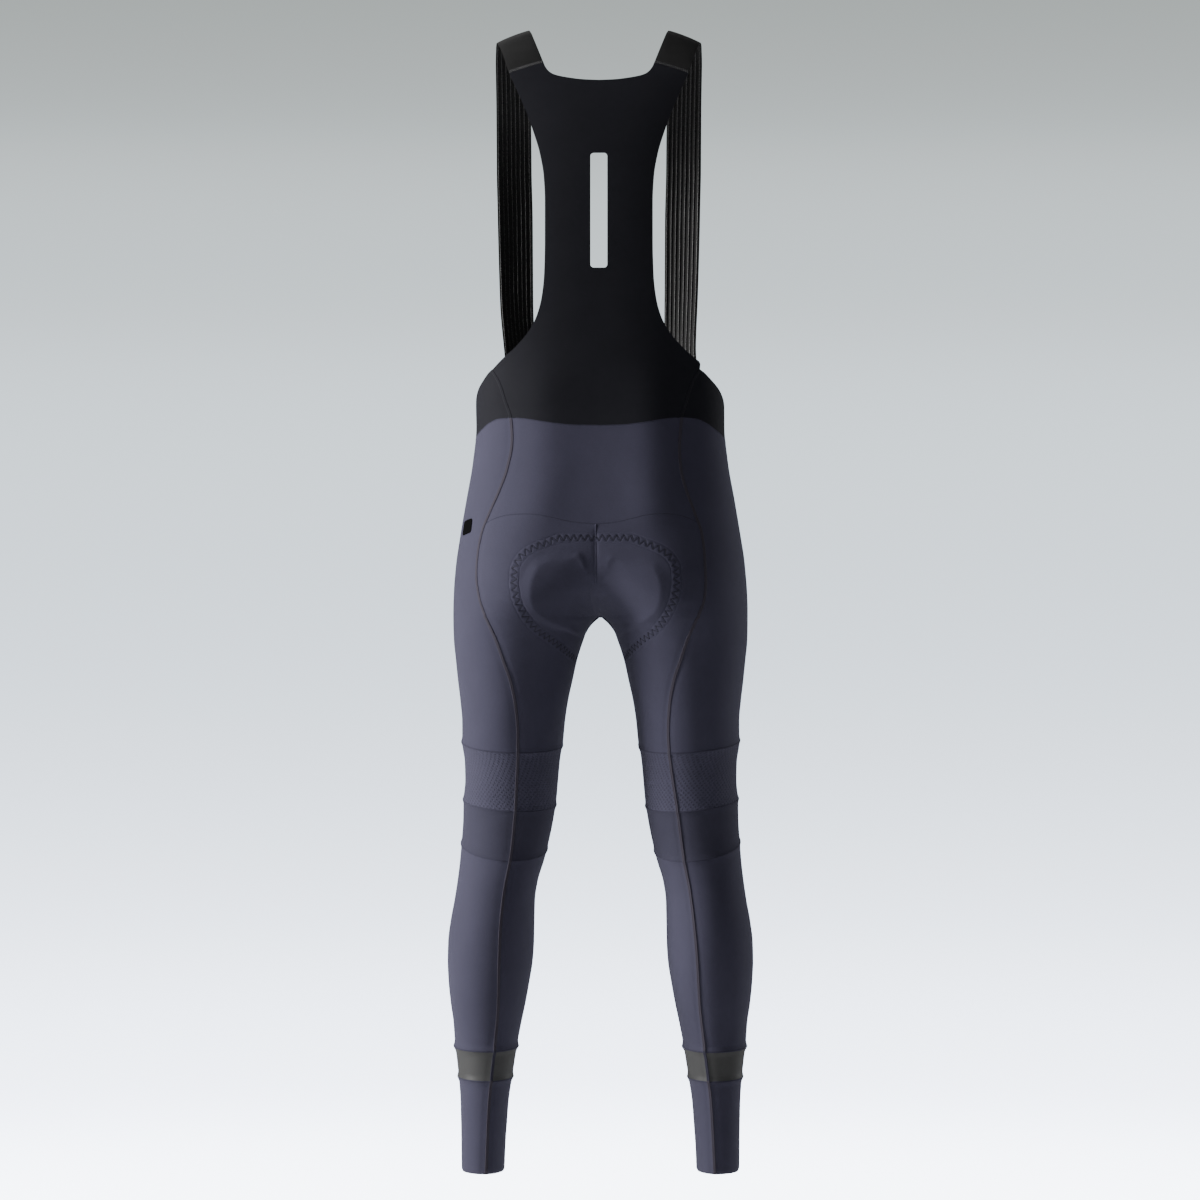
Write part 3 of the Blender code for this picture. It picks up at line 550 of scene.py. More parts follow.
def through(pairs, at):
    """The smooth curve through a list of pairs."""
    pairs = sorted(pairs)
    return smooth_curve([pair[0] for pair in pairs], [pair[1] for pair in pairs], at)


def smooth_line(points, count=600):
    """A smooth line through points, and the length run at each of its own points."""
    points = np.asarray(points, float)
    chords = np.linalg.norm(np.diff(points, axis=0), axis=1)
    length = np.concatenate([[0], np.cumsum(chords)])
    fine = np.linspace(0, length[-1], count)
    line = np.stack([smooth_curve(length, column, fine) for column in points.T], axis=1)
    return line, run_along(line)


def run_along(line):
    """The length run so far at each point of a line."""
    return np.concatenate([[0], np.cumsum(np.linalg.norm(np.diff(line, axis=0), axis=1))])


def read_at(line, run, at):
    """Points of a line at the given lengths along it."""
    return np.stack([np.interp(at, run, column) for column in line.T], axis=1)


def even_lengths(run, step):
    """Lengths an even step apart."""
    return np.linspace(0, run[-1], cells(run[-1], step) + 1)


def along(points, shares):
    """Points at shares of the length of a smooth line through the given points."""
    line, run = smooth_line(points)
    return read_at(line, run, np.asarray(shares) * run[-1])


def unit(vectors):
    """The same directions, each one long."""
    return vectors / np.linalg.norm(vectors, axis=-1, keepdims=True)


def cells(length, size):
    return max(2, int(round(length / size)))


def section_tables():
    """Each measure of the sections, trunk and leg in one run, by how far down they lie."""
    trunk = table(TRUNK_COLUMNS, TRUNK)
    leg = table(LEG_COLUMNS, LEG)
    leg_inner = np.hypot(leg["inner"], CREASE)
    same = ("down", "outer", "front", "back")
    joined = {name: np.concatenate([trunk[name], leg[name]]) for name in same}
    joined["inner"] = np.concatenate([CREASE - trunk["reach"], leg_inner])
    joined["lobe"] = np.concatenate([trunk["lobe"], (leg_inner + leg["outer"]) / 2])
    joined["middle"] = np.concatenate([np.zeros(len(TRUNK)), leg["middle"]])
    joined["square"] = np.concatenate([trunk["square"], np.full(len(LEG), 2.0)])
    return joined


SECTIONS = section_tables()


def section(down):
    """The section's measures at each of the given heights."""
    at = {}
    for name, values in SECTIONS.items():
        if name != "down":
            at[name] = smooth_curve(SECTIONS["down"], values, down)
    at["lobe"] = np.maximum(at["lobe"], CREASE)
    return at


def field(points):
    """Below 0 inside the body that the garment clothes, 0 on it and above 0 outside."""
    x, y, z = np.moveaxis(points, -1, 0)
    at = section(-z)
    across = np.hypot(x, CREASE)
    half_width = np.where(across < at["lobe"], at["lobe"] - at["inner"], at["outer"] - at["lobe"])
    depth = np.where(y < at["middle"], at["front"], at["back"])
    wide = np.abs((across - at["lobe"]) / half_width) ** at["square"]
    deep = np.abs((y - at["middle"]) / depth) ** at["square"]
    return wide + deep - 1


def gradient(points):
    """How fast the field grows along each axis."""
    step = 0.05
    parts = []
    for axis in np.eye(3):
        parts.append((field(points + step * axis) - field(points - step * axis)) / (2 * step))
    return np.stack(parts, axis=-1)


def normals(points):
    """Unit vectors that point out of the garment."""
    return unit(gradient(points))


def half_ring(down):
    """x and y round the left half of the sections, from the front, past the side, to the back."""
    at = {name: values[:, None] for name, values in section(down).items()}
    quarter = np.linspace(0, math.pi / 2, 49)[None, :]
    start = np.sqrt(np.maximum(at["inner"], CREASE) ** 2 - CREASE**2)
    deepest = np.sqrt(at["lobe"] ** 2 - CREASE**2)
    inner_x = start + (deepest - start) * (1 - np.cos(quarter))
    share = (at["lobe"] - np.hypot(inner_x, CREASE)) / (at["lobe"] - at["inner"])
    inner_y = (1 - np.clip(share, 0, 1) ** at["square"]) ** (1 / at["square"])
    power = 2 / at["square"]
    outer_x = at["lobe"] + (at["outer"] - at["lobe"]) * np.sin(quarter) ** power
    outer_x = np.sqrt(outer_x**2 - CREASE**2)
    outer_y = np.clip(np.cos(quarter), 0, 1) ** power
    x = np.concatenate([inner_x, outer_x[:, 1:]], axis=1)
    y = np.concatenate([inner_y, outer_y[:, 1:]], axis=1)
    front = at["middle"] - at["front"] * y
    back = at["middle"] + at["back"] * y
    whole_x = np.concatenate([x, x[:, -2::-1]], axis=1)
    whole_y = np.concatenate([front, back[:, -2::-1]], axis=1)
    return whole_x, whole_y


def ring_lengths(x, y):
    """The length run so far at each point of the rings."""
    chords = np.hypot(np.diff(x, axis=1), np.diff(y, axis=1))
    return np.concatenate([np.zeros((len(x), 1)), np.cumsum(chords, axis=1)], axis=1)


def surface_block(u, down):
    """Points of the body at shares u of the way round the half-section, at each height."""
    x, y = half_ring(down)
    run = ring_lengths(x, y)
    target = (u % 1.0 + (u == 1.0)) * run[:, -1]
    i = np.clip((run < target[:, None]).sum(axis=1), 1, run.shape[1] - 1)
    rows = np.arange(len(i))
    chord = np.maximum(run[rows, i] - run[rows, i - 1], 1e-9)
    t = np.clip((target - run[rows, i - 1]) / chord, 0, 1)
    px = x[rows, i - 1] + t * (x[rows, i] - x[rows, i - 1])
    py = y[rows, i - 1] + t * (y[rows, i] - y[rows, i - 1])
    return np.stack([px, py, -down], axis=-1)


def surface(u, down):
    """The same for any number of points, worked out block by block."""
    u, down = np.broadcast_arrays(np.asarray(u, float), np.asarray(down, float))
    flat_u = u.ravel()
    flat_down = down.ravel()
    block = 4096
    parts = []
    for i in range(0, len(flat_u), block):
        parts.append(surface_block(flat_u[i : i + block], flat_down[i : i + block]))
    return np.concatenate(parts).reshape(u.shape + (3,))


def seam_table():
    """The side seam as a share of the way round, and the half-section's length, down the garment."""
    down = np.arange(400, HEM + 3, 2.0)
    x, y = half_ring(down)
    run = ring_lengths(x, y)
    seam_x = through(SIDE_SEAM, down)
    share = [share_at(x[i], run[i], seam_x[i], True) for i in range(len(down))]
    return down, np.array(share), run[:, -1]


def share_at(x, run, wanted, back):
    """How far round one section the place with a wanted x lies, at its back or its front."""
    tip = int(np.argmax(x))
    if back:
        return np.interp(wanted, x[tip:][::-1], run[tip:][::-1]) / run[-1]
    return np.interp(wanted, x[: tip + 1], run[: tip + 1]) / run[-1]


SEAM_DOWN, SEAM_SHARE, RING_LENGTH = seam_table()


def side_seam(down):
    return np.interp(down, SEAM_DOWN, SEAM_SHARE)


def ring_length(down):
    return np.interp(down, SEAM_DOWN, RING_LENGTH)


def front_share(share, down):
    """Round from the middle of the front, or the inside of the leg, to the side seam."""
    return share * side_seam(down)


def back_share(share, down):
    """Round from the middle of the back, or the inside of the leg, to the side seam."""
    return 1 - share * (1 - side_seam(down))


def tube_share(share, down):
    """Round the whole leg from the side seam: -1 to 0 along the inside back, then 0 to 1."""
    return np.where(share < 0, back_share(-share, down), front_share(share, down))


def leg_edge(edge, u):
    """Down of an edge round the leg, a tilted ring through its three given heights."""
    inside, outside, back = edge
    mean = (inside + outside) / 2
    turn = 2 * math.pi * u
    return mean + (inside - outside) / 2 * np.cos(turn) + (mean - back) * np.sin(turn)


def leg_edge_at(edge, share_of, share):
    """The same edge at one column of a panel, whose share round depends on its height."""
    down = np.full(np.shape(share), float(edge[1]))
    for _ in range(4):
        down = leg_edge(edge, share_of(share, down))
    return down


def column_rows(share_of, share, top, low, shares):
    """Heights down one column of a panel at shares of its length between two heights."""
    turn = np.linspace(0, 1, 241)
    down = top + (low - top) * turn
    if abs(low - CROTCH) < 40:
        down = top + (low - top) * np.sin(turn * math.pi / 2)
    run = run_along(surface(share_of(np.full(len(down), share), down), down))
    return np.interp(np.asarray(shares) * run[-1], run, down)


def crotch_line(share):
    """Down of the line that the panels' rows follow from the crotch to the side seam."""
    return CROTCH + (CROTCH_LINE_AT_SIDE - CROTCH) * share


def smooth_step(t):
    t = np.clip(t, 0, 1)
    return t * t * (3 - 2 * t)


def faded(z, span):
    """1 between the inner two heights of a span, and down to 0 at its outer two."""
    top, full, fading, low = span
    return smooth_step((-z - top) / (full - top)) * smooth_step((low + z) / (low - fading))


def insert_relief(points, side):
    """How far the cloth stands out over the pad's firm inserts."""
    x, y, z = np.moveaxis(points, -1, 0)
    across = np.abs(x) - INSERT_X
    up = z + INSERT_DOWN
    apart = np.hypot(across, up)
    angle = np.degrees(np.arctan2(up, across))
    rows = table(INSERT_COLUMNS, INSERT)
    radius, crest, fall = (
        smooth_curve(rows["angle"], rows[name], angle) for name in ("radius", "height", "fall")
    )
    edge_x = INSERT_X + radius * np.cos(np.radians(angle))
    edge = plate_height(edge_x, side)
    crest = crest + edge - plate_height(edge_x, 1)
    rim = np.clip(apart / radius, 0, 1) ** PLATE_RIM_POWER
    inside = plate_height(np.abs(x), side) + (crest - edge) * rim
    outside = crest * np.clip(1 - (apart - radius) / fall, 0, 1) ** PLATE_FALL_POWER
    return np.where(apart < radius, inside, outside) * (y > 0)


def plate_height(across, side):
    """How high the plate of an insert stands, by how far from the middle of the seat."""
    inner, low = PLATE_INSIDE
    outer, high = PLATE_OUTSIDE[side]
    share = np.clip((across - inner) / (outer - inner), 0, 1)
    return low + (high - low) * share ** PLATE_POWER[side]


def loin_relief(points):
    """The low ridge on each side of the spine."""
    x, y, z = np.moveaxis(points, -1, 0)
    hump = np.exp(-(((np.abs(x) - LOIN_X) / LOIN_WIDTH) ** 2))
    return LOIN_HEIGHT * hump * faded(z, LOIN_SPAN) * (y > 0)


def valley_relief(points):
    """The crease that the seam down the middle of the seat pulls."""
    x, y, z = np.moveaxis(points, -1, 0)
    return -VALLEY_DEPTH * np.exp(-np.abs(x) / VALLEY_WIDTH) * faded(z, VALLEY_SPAN) * (y > 0)


def apart_from(spots, line):
    """How far each spot lies from a line of points, both on a plane."""
    nearest = np.full(len(spots), np.inf)
    for a, b in zip(line[:-1], line[1:]):
        along_it = b - a
        t = np.clip(((spots - a) @ along_it) / (along_it @ along_it), 0, 1)
        gap = spots - a - t[:, None] * along_it
        nearest = np.minimum(nearest, np.hypot(gap[:, 0], gap[:, 1]))
    return nearest


def trough_relief(points):
    """The shallow trough along the pad's stitches, which the stitched strip fills."""
    x, y, z = np.moveaxis(points, -1, 0)
    near = (y > 0) & (z < -TROUGH_TOP) & (z > -TROUGH_LOW)
    out = np.zeros(x.shape)
    line, _ = smooth_line(STITCH_BACK, 120)
    spots = np.stack([np.abs(x[near]), -z[near]], axis=1)
    t = np.clip(apart_from(spots, line) / TROUGH_REACH, 0, 1)
    out[near] = -TROUGH_DEPTH * (1 - t**3) ** 2
    return out


def ring_relief(u, down):
    """How far the cloth swells over the seams round the leg."""
    out = np.zeros(np.shape(down))
    for _, edge, height, width in RING_SWELLS:
        out = out + height * np.exp(-(((down - leg_edge(edge, u)) / width) ** 2))
    return out * (np.asarray(down) > RINGS_FROM)


def pull_relief(u, down):
    """The soft edge along the side seam, slight dips beside it, and the hem's rounded edge."""
    apart = np.abs(u - side_seam(down)) * ring_length(down)
    edge = through(SEAM_EDGE, down) * np.exp(-apart / SEAM_EDGE_WIDTH)
    dips = SEAM_DIP * np.exp(-(((apart - SEAM_DIP_AT) / SEAM_DIP_WIDTH) ** 2))
    hem = HEM_TURN * smooth_step((np.asarray(down) - (HEM - HEM_ROUNDING)) / HEM_ROUNDING) ** 2
    return edge - dips - hem


def slack_relief(points):
    """The slight unevenness of stretched cloth, a tenth or two of a millimetre."""
    x, y, z = np.moveaxis(points, -1, 0)
    low = np.sin(z / 23 + 1.3 * np.sin(x / 31)) * np.sin(x / 27 + y / 35)
    fine = np.sin(z / 9.5 + x / 14 + 2 * np.sin(y / 21))
    return SLACK_LOW * low + SLACK_FINE * fine


def relief(u, down, points, side):
    """All that raises or lowers the outer face of the cloth."""
    raised = ring_relief(u, down) + pull_relief(u, down) + slack_relief(points)
    return raised + insert_relief(points, side) + valley_relief(points) + loin_relief(points)


def slipped(u, down, side):
    """Shares moved along with the side seam's slip: side is 1 on the left, -1 on the right."""
    seam = side_seam(down)
    weight = np.where(u < seam, u / seam, (1 - u) / (1 - seam))
    return u - side * weight * through(SEAM_SLIP, down) / ring_length(down)


def on_cloth(u, down, side=0):
    """Points on the finished outer face of one side, and the direction out of it."""
    points = surface(slipped(u, down, side), down)
    out = normals(points)
    return points + relief(u, down, points, side)[..., None] * out, out


def stood(points):
    """Points leaned and turned as the filled garment stands."""
    x, y, z = np.moveaxis(np.asarray(points, float), -1, 0)
    rows = table(STANCE_COLUMNS, STANCE)
    lean = smooth_curve(rows["down"], rows["lean"], -z)
    turn = np.radians(smooth_curve(rows["down"], rows["degrees"], -z))
    turned_x = x * np.cos(turn) + y * np.sin(turn) + lean
    return np.stack([turned_x, y * np.cos(turn) - x * np.sin(turn), z], axis=-1)


def grid_faces(rows, columns):
    """Faces of a grid of points whose rows run downward and columns round to the left."""
    corner = np.arange(rows)[:, None] * (columns + 1) + np.arange(columns)[None, :]
    corner = corner.ravel()
    return np.stack([corner, corner + 1, corner + columns + 2, corner + columns + 1], axis=1)


def ring_faces(rings, count):
    """Faces between closed rings of points."""
    k = np.arange(count)
    start = np.arange(rings - 1)[:, None] * count
    a = (start + k).ravel()
    b = (start + (k + 1) % count).ravel()
    return np.stack([a, b, b + count, a + count], axis=1).tolist()


def turned_out(mesh):
    """Turns the faces of a closed mesh so that they look out of it."""
    mesh.calc_loop_triangles()
    corners = np.zeros(3 * len(mesh.loop_triangles), dtype=np.int32)
    mesh.loop_triangles.foreach_get("vertices", corners)
    points = np.zeros(3 * len(mesh.vertices))
    mesh.vertices.foreach_get("co", points)
    a, b, c = np.moveaxis(points.reshape(-1, 3)[corners.reshape(-1, 3)], 1, 0)
    if np.einsum("ij,ij->i", a, np.cross(b, c)).sum() < 0:
        mesh.flip_normals()


def linked(name, data):
    """An object with the given data, in the scene."""
    made = bpy.data.objects.new(name, data)
    bpy.context.scene.collection.objects.link(made)
    return made


def new_object(name, points, faces, finish, places=None, sharp=50):
    """A smooth mesh from points in mm, closed if it has places, its texture coordinates in mm."""
    mesh = bpy.data.meshes.new(name)
    faces = faces if isinstance(faces, list) else faces.tolist()
    mesh.from_pydata((stood(points) * MM).tolist(), [], faces)
    if places is not None:
        layer = mesh.uv_layers.new(name="cloth")
        corners = np.zeros(len(mesh.loops), dtype=np.int32)
        mesh.loops.foreach_get("vertex_index", corners)
        layer.data.foreach_set("uv", (np.asarray(places, float) * MM)[corners].ravel())
        turned_out(mesh)
    mesh.shade_smooth()
    mesh.set_sharp_from_angle(angle=math.radians(sharp))
    mesh.materials.append(finish)
    return linked(name, mesh)


def wall(name, outer, inner, faces, places, finish):
    """A wall between an outer and an inner sheet that share their faces, with its edges closed."""
    count = len(outer)
    faces = np.asarray(faces)
    edges = np.concatenate([faces[:, [i, (i + 1) % 4]] for i in range(4)])
    codes = edges[:, 0] * (count + 1) + edges[:, 1]
    turned = edges[:, 1] * (count + 1) + edges[:, 0]
    open_edges = edges[~np.isin(turned, codes)]
    a, b = open_edges.T
    rim = np.stack([b, a, a + count, b + count], axis=1)
    both = np.concatenate([faces, faces[:, ::-1] + count, rim])
    return new_object(name, np.concatenate([outer, inner]), both, finish, np.tile(places, (2, 1)))


def mirrored(points):
    return points * np.array([-1, 1, 1])


def both_sides(name, share_of, shares, downs, finish, pulled=None):
    """A panel of the left side and its fellow on the right, left first."""
    faces = grid_faces(len(downs) - 1, len(shares) - 1)
    made = []
    for side, sign in SIDES.items():
        outer, inner, places = sheets(share_of, shares, downs, sign, pulled)
        if side == "right":
            outer, inner, faces = mirrored(outer), mirrored(inner), faces[:, ::-1]
        made.append(wall(f"{name}_{side}_cloth", outer, inner, faces, places, finish))
    return made


def across_middle(left, right, faces, places):
    """A left half and a right half, given mirrored, joined along the points on the middle."""
    outer, inner = left
    count = len(outer)
    shared = np.abs(outer[:, 0]) < 1e-6
    number = np.where(shared, np.arange(count), count + np.cumsum(~shared) - 1)
    extra = np.flatnonzero(~shared)
    whole_outer = np.concatenate([outer, mirrored(right[0][extra])])
    whole_inner = np.concatenate([inner, mirrored(right[1][extra])])
    whole_places = np.concatenate([places, places[extra] * np.array([-1, 1])])
    whole_faces = np.concatenate([faces, number[faces[:, ::-1]]])
    return whole_outer, whole_inner, whole_faces, whole_places


def sheets(share_of, shares, downs, side, pulled=None):
    """The outer and inner sheets of a panel, and each point's place on the cloth."""
    u = share_of(np.broadcast_to(shares, downs.shape), downs)
    points = surface(slipped(u, downs, side), downs)
    out = normals(points)
    pull = pulled(points)[..., None] * out if pulled else 0
    inner = points - WALL * out + pull
    outer = points + relief(u, downs, points, side)[..., None] * out + pull
    places = np.stack([(u % 1.0001) * ring_length(downs), -downs], axis=-1)
    return outer.reshape(-1, 3), inner.reshape(-1, 3), places.reshape(-1, 2)


def straight_rows(tops, lows, size):
    """Heights of a panel's rows, evenly spread down each of its columns."""
    rows = np.linspace(0, 1, cells(np.max(lows - tops), size) + 1)
    return tops[None, :] + (lows - tops)[None, :] * rows[:, None]


def crotch_rows(share_of, shares, tops, lows, size):
    """Heights of the rows of a panel that meets the crotch, in two runs that meet there."""
    above = np.linspace(0, 1, cells(190, size) + 1)
    below = np.linspace(0, 1, cells(150, size) + 1)
    columns = []
    for share, top, low in zip(shares, tops, lows):
        upper = column_rows(share_of, share, top, crotch_line(share), above)
        lower = column_rows(share_of, share, crotch_line(share), low, below)
        columns.append(np.concatenate([upper, lower[1:]]))
    return np.stack(columns, axis=1)


def make_seats(finish):
    """From the yoke down the inside of the back of each leg to the knee."""
    shares = np.linspace(0, 1, cells(130, SEAT_CELL) + 1) ** 1.2
    tops = through(YOKE_LOW, shares)
    lows = leg_edge_at(KNEE_TOP, back_share, shares)
    downs = crotch_rows(back_share, shares, tops, lows, SEAT_CELL)
    return both_sides("seat", back_share, shares, downs, finish, trough_relief)


def make_thighs(finish):
    """Round the front and the outside of each thigh."""
    shares = np.linspace(0, 1, cells(360, CELL * 1.3) + 1)
    tops = through(BLACK_EDGE, shares)
    lows = leg_edge_at(KNEE_TOP, front_share, shares)
    downs = crotch_rows(front_share, shares, tops, lows, CELL * 1.2)
    return both_sides("thigh", front_share, shares, downs, finish)


def make_band(name, share_of, width, top_edge, low_edge, finish):
    """A panel right across the front or the back of the trunk."""
    shares = np.linspace(0, 1, cells(width, CELL * 1.2) + 1)
    downs = straight_rows(through(top_edge, shares), through(low_edge, shares), CELL * 1.2)
    halves = []
    for side in SIDES.values():
        outer, inner, places = sheets(share_of, shares, downs, side)
        outer[:: len(shares), 0] = 0
        inner[:: len(shares), 0] = 0
        halves.append((outer, inner))
    faces = grid_faces(len(downs) - 1, len(shares) - 1)
    if share_of is back_share:
        places[:, 0] -= ring_length(-places[:, 1])
    return wall(f"{name}_cloth", *across_middle(*halves, faces, places), finish)


def make_tube(name, top_edge, low_edge, finish):
    """One ring of each leg, open along the side seam."""
    back_part = -np.linspace(1, 0, cells(120, CELL) + 1)[:-1]
    shares = np.concatenate([back_part, np.linspace(0, 1, cells(240, CELL) + 1)])
    tops = leg_edge_at(top_edge, tube_share, shares)
    lows = leg_edge_at(low_edge, tube_share, shares)
    downs = straight_rows(tops, lows, CELL * 0.8)
    return both_sides(name, tube_share, shares, downs, finish)


def back_points(x, down):
    """Points of the back of the trunk at the given places across and down."""
    at = section(down)
    across = np.hypot(x, CREASE)
    half_width = np.where(across < at["lobe"], at["lobe"] - at["inner"], at["outer"] - at["lobe"])
    share = np.clip(np.abs(across - at["lobe"]) / half_width, 0, 1)
    y = at["middle"] + at["back"] * (1 - share ** at["square"]) ** (1 / at["square"])
    return np.stack([x, y, -down], axis=-1)


def bib_outline(side):
    """One half's middle and neckline, and its side, row by row from the bottom."""
    side_rows = cells(57, BIB_CELL)
    edge_rows = cells(380, BIB_CELL)
    neck_rows = cells(80, BIB_CELL)
    side_down = np.linspace(YOKE_TOP[-1][1], BIB_CORNER, side_rows + 1)
    seam = surface(slipped(side_seam(side_down), side_down, side), side_down)
    seam = np.stack([seam[:, 0], side_down], axis=1)
    edge = [(x, down) for down, x in BIB_EDGE]
    edge[0] = tuple(seam[-1])
    upper = along(edge, np.linspace(0, 1, edge_rows + neck_rows + 1)[1:])
    outer = np.concatenate([seam, upper])
    foot = YOKE_TOP[0][1]
    turn = foot - (YOKE_TOP[-1][1] - BIB_CORNER)
    low = np.linspace(foot, turn, side_rows + 1)
    high = np.linspace(turn, NECKLINE[0][1], edge_rows + 1)[1:]
    middle = np.concatenate([low, high])
    neck = along(NECKLINE, np.linspace(0, 1, neck_rows + 1)[1:])
    inner = np.concatenate([np.stack([np.zeros(len(middle)), middle], axis=1), neck])
    return inner, outer, side_rows


def slot_cutter():
    """A rounded bar that cuts the slot through the back of the bib."""
    size = (2 * SLOT_HALF_WIDTH * MM, CUT_DEPTH * MM, (SLOT_LOW - SLOT_TOP) * MM)
    middle = (SLOT_TOP + SLOT_LOW) / 2
    place = stood(back_points(np.zeros(1), np.full(1, middle)))[0] * MM
    shape = bmesh.new()
    bmesh.ops.create_cube(shape, size=1.0)
    bmesh.ops.scale(shape, vec=size, verts=shape.verts)
    deep = [edge for edge in shape.edges if edge.verts[0].co.y * edge.verts[1].co.y < 0]
    corner = SLOT_CORNER * MM
    bmesh.ops.bevel(shape, geom=deep, offset=corner, segments=8, affect="EDGES", profile=0.5)
    bmesh.ops.translate(shape, vec=tuple(place), verts=shape.verts)
    mesh = bpy.data.meshes.new("slot_cutter")
    shape.to_mesh(mesh)
    shape.free()
    return linked("slot_cutter", mesh)


def bib_half(side):
    """One half of the back of the bib: its outer and inner points, faces and places."""
    inner_line, outer_line, side_rows = bib_outline(side)
    shares = np.linspace(0, 1, cells(105, BIB_CELL) + 1)
    spread = inner_line[:, None, :] + (outer_line - inner_line)[:, None, :] * shares[None, :, None]
    foot_down = through(YOKE_TOP, shares)
    foot = surface(slipped(back_share(shares, foot_down), foot_down, side), foot_down)
    true_foot = np.stack([foot[:, 0], foot_down], axis=1)
    fade = np.clip(1 - np.arange(len(inner_line)) / side_rows, 0, 1)
    spread = spread + fade[:, None, None] * (true_foot - spread[0])[None, :, :]
    flat = spread[::-1].reshape(-1, 2)
    points = back_points(flat[:, 0], flat[:, 1])
    out = normals(points)
    outer = points + (slack_relief(points) + loin_relief(points))[:, None] * out
    outer[np.abs(points[:, 0]) < 1e-6, 0] = 0
    inner = points - WALL * out
    faces = grid_faces(len(inner_line) - 1, len(shares) - 1)
    return (outer, inner), faces, flat * np.array([1, -1])


def make_back_bib(finish):
    """The racer-shaped back, with its slot cut through."""
    left, faces, places = bib_half(1)
    right, _, _ = bib_half(-1)
    bib = wall("back_bib_cloth", *across_middle(left, right, faces, places), finish)
    cutter = slot_cutter()
    cut = bib.modifiers.new("slot", "BOOLEAN")
    cut.operation = "DIFFERENCE"
    cut.solver = "EXACT"
    cut.object = cutter
    bpy.context.view_layer.update()
    shown = bib.evaluated_get(bpy.context.evaluated_depsgraph_get())
    mesh = bpy.data.meshes.new_from_object(shown)
    bib.modifiers.clear()
    bib.data = mesh
    bpy.data.objects.remove(cutter)
    return bib


def strap_edges(side):
    """Middle, width, bow and outward direction at each station of a strap, as on the left."""
    rows = table(STRAP_COLUMNS, STRAP)
    outer = np.stack([rows["x_out"], rows["y_out"], -rows["down"] - rows["rise"]], axis=1)
    neck = np.stack([rows["x_in"], rows["y_in"], -rows["down"] + rows["rise"]], axis=1)
    tab_down, tab_x = BIB_EDGE[-1]
    neck_x, neck_down = NECKLINE[-1]
    tab = back_points(np.array([tab_x, neck_x], float), np.array([tab_down, neck_down], float))
    foot_shares = np.array(STRAP_FOOT_SHARES)
    foot_down = through(FRONT_TOP, foot_shares)
    foot = surface(slipped(front_share(foot_shares, foot_down), foot_down, side), foot_down)
    outer = np.concatenate([tab[:1], outer, foot[:1]])
    neck = np.concatenate([tab[1:], neck, foot[1:]])
    bow = np.concatenate([[0.5], rows["bow"], [STRAP_FOOT_BOW]])
    middle = (outer + neck) / 2
    combined = np.concatenate([middle, neck - outer, bow[:, None]], axis=1)
    length = run_along(middle)
    at = np.linspace(0, length[-1], STRAP_STATIONS + 1)
    stations = np.stack([smooth_curve(length, column, at) for column in combined.T], axis=1)
    out = unit(np.cross(stations[:, 3:6], np.gradient(stations[:, :3], axis=0)))
    return stations[:, :3], stations[:, 3:6], stations[:, 6], out


def loft(name, rings, finish, places):
    """A closed skin through rings of points, with both ends filled."""
    count = rings.shape[1]
    faces = ring_faces(len(rings), count)
    last = len(rings) * count
    faces.append(list(range(count))[::-1])
    faces.append(list(range(last - count, last)))
    return new_object(name, rings.reshape(-1, 3), faces, finish, places.reshape(-1, 2), 55)


def strip_places(across, run):
    """Texture places of rings along a line, by how far across and the length run."""
    return np.stack(np.broadcast_arrays(across[None, :], run[:, None]), axis=-1)


def strap_rings(stations, across, lift):
    """Rings across a strap's bowed face, at shares of its width and lifted out of it."""
    middle, width, bow, out = stations
    arch = bow[:, None] * (1 - (2 * across) ** 2) + lift
    return middle[:, None, :] + across[..., None] * width[:, None, :] + arch[..., None] * out[:, None, :]


def make_strap(side, band_finish, rib_finish):
    """One strap: the woven band, and the ridges down its body side."""
    stations = strap_edges(SIDES[side])
    run = run_along(stations[0])
    flip = np.array([SIDES[side], 1, 1])
    face = np.linspace(-0.5, 0.5, STRAP_FACE_POINTS)
    across = np.concatenate([face, face[::-1]])
    deep = np.repeat([0.0, 1.0], STRAP_FACE_POINTS)
    thinned = 1 - STRAP_EDGE_THINNED * np.abs(2 * across) ** 12
    depth = STRAP_WALL * (0.5 + (deep - 0.5) * thinned)
    rings = strap_rings(stations, np.tile(across, (len(run), 1)), -depth[None, :]) * flip
    places = strip_places(across * 44 + deep * 60, run)
    band = loft(f"strap_{side}_band", rings, band_finish, places)
    stations = [column[::2] for column in stations]
    run = run[::2]
    span = np.linalg.norm(stations[1], axis=1)
    turn = np.linspace(0, math.pi, 7)
    offset = RIB_WIDTH / 2 * np.cos(turn)
    height = RIB_HEIGHT * np.sin(turn) ** 0.8
    ridges = []
    for k in range(STRAP_RIBS):
        across = -0.5 + (k + 0.5) / STRAP_RIBS + offset[None, :] / span[:, None]
        sway = 1 + RIB_SWAY * np.sin(run / 31 + 1.9 * k)
        lift = RIB_SUNK - STRAP_WALL - height[None, :] * sway[:, None]
        rings = strap_rings(stations, across, lift) * flip
        places = strip_places(offset + k * 6, run)
        ridges.append(loft(f"strap_{side}_ridge_{k}", rings, rib_finish, places))
    return band, join(ridges, f"strap_{side}_ridges")


def join(parts, name):
    """Several meshes as one."""
    with bpy.context.temp_override(
        active_object=parts[0], selected_objects=parts, selected_editable_objects=parts
    ):
        bpy.ops.object.join()
    parts[0].name = name
    parts[0].data.name = name
    return parts[0]


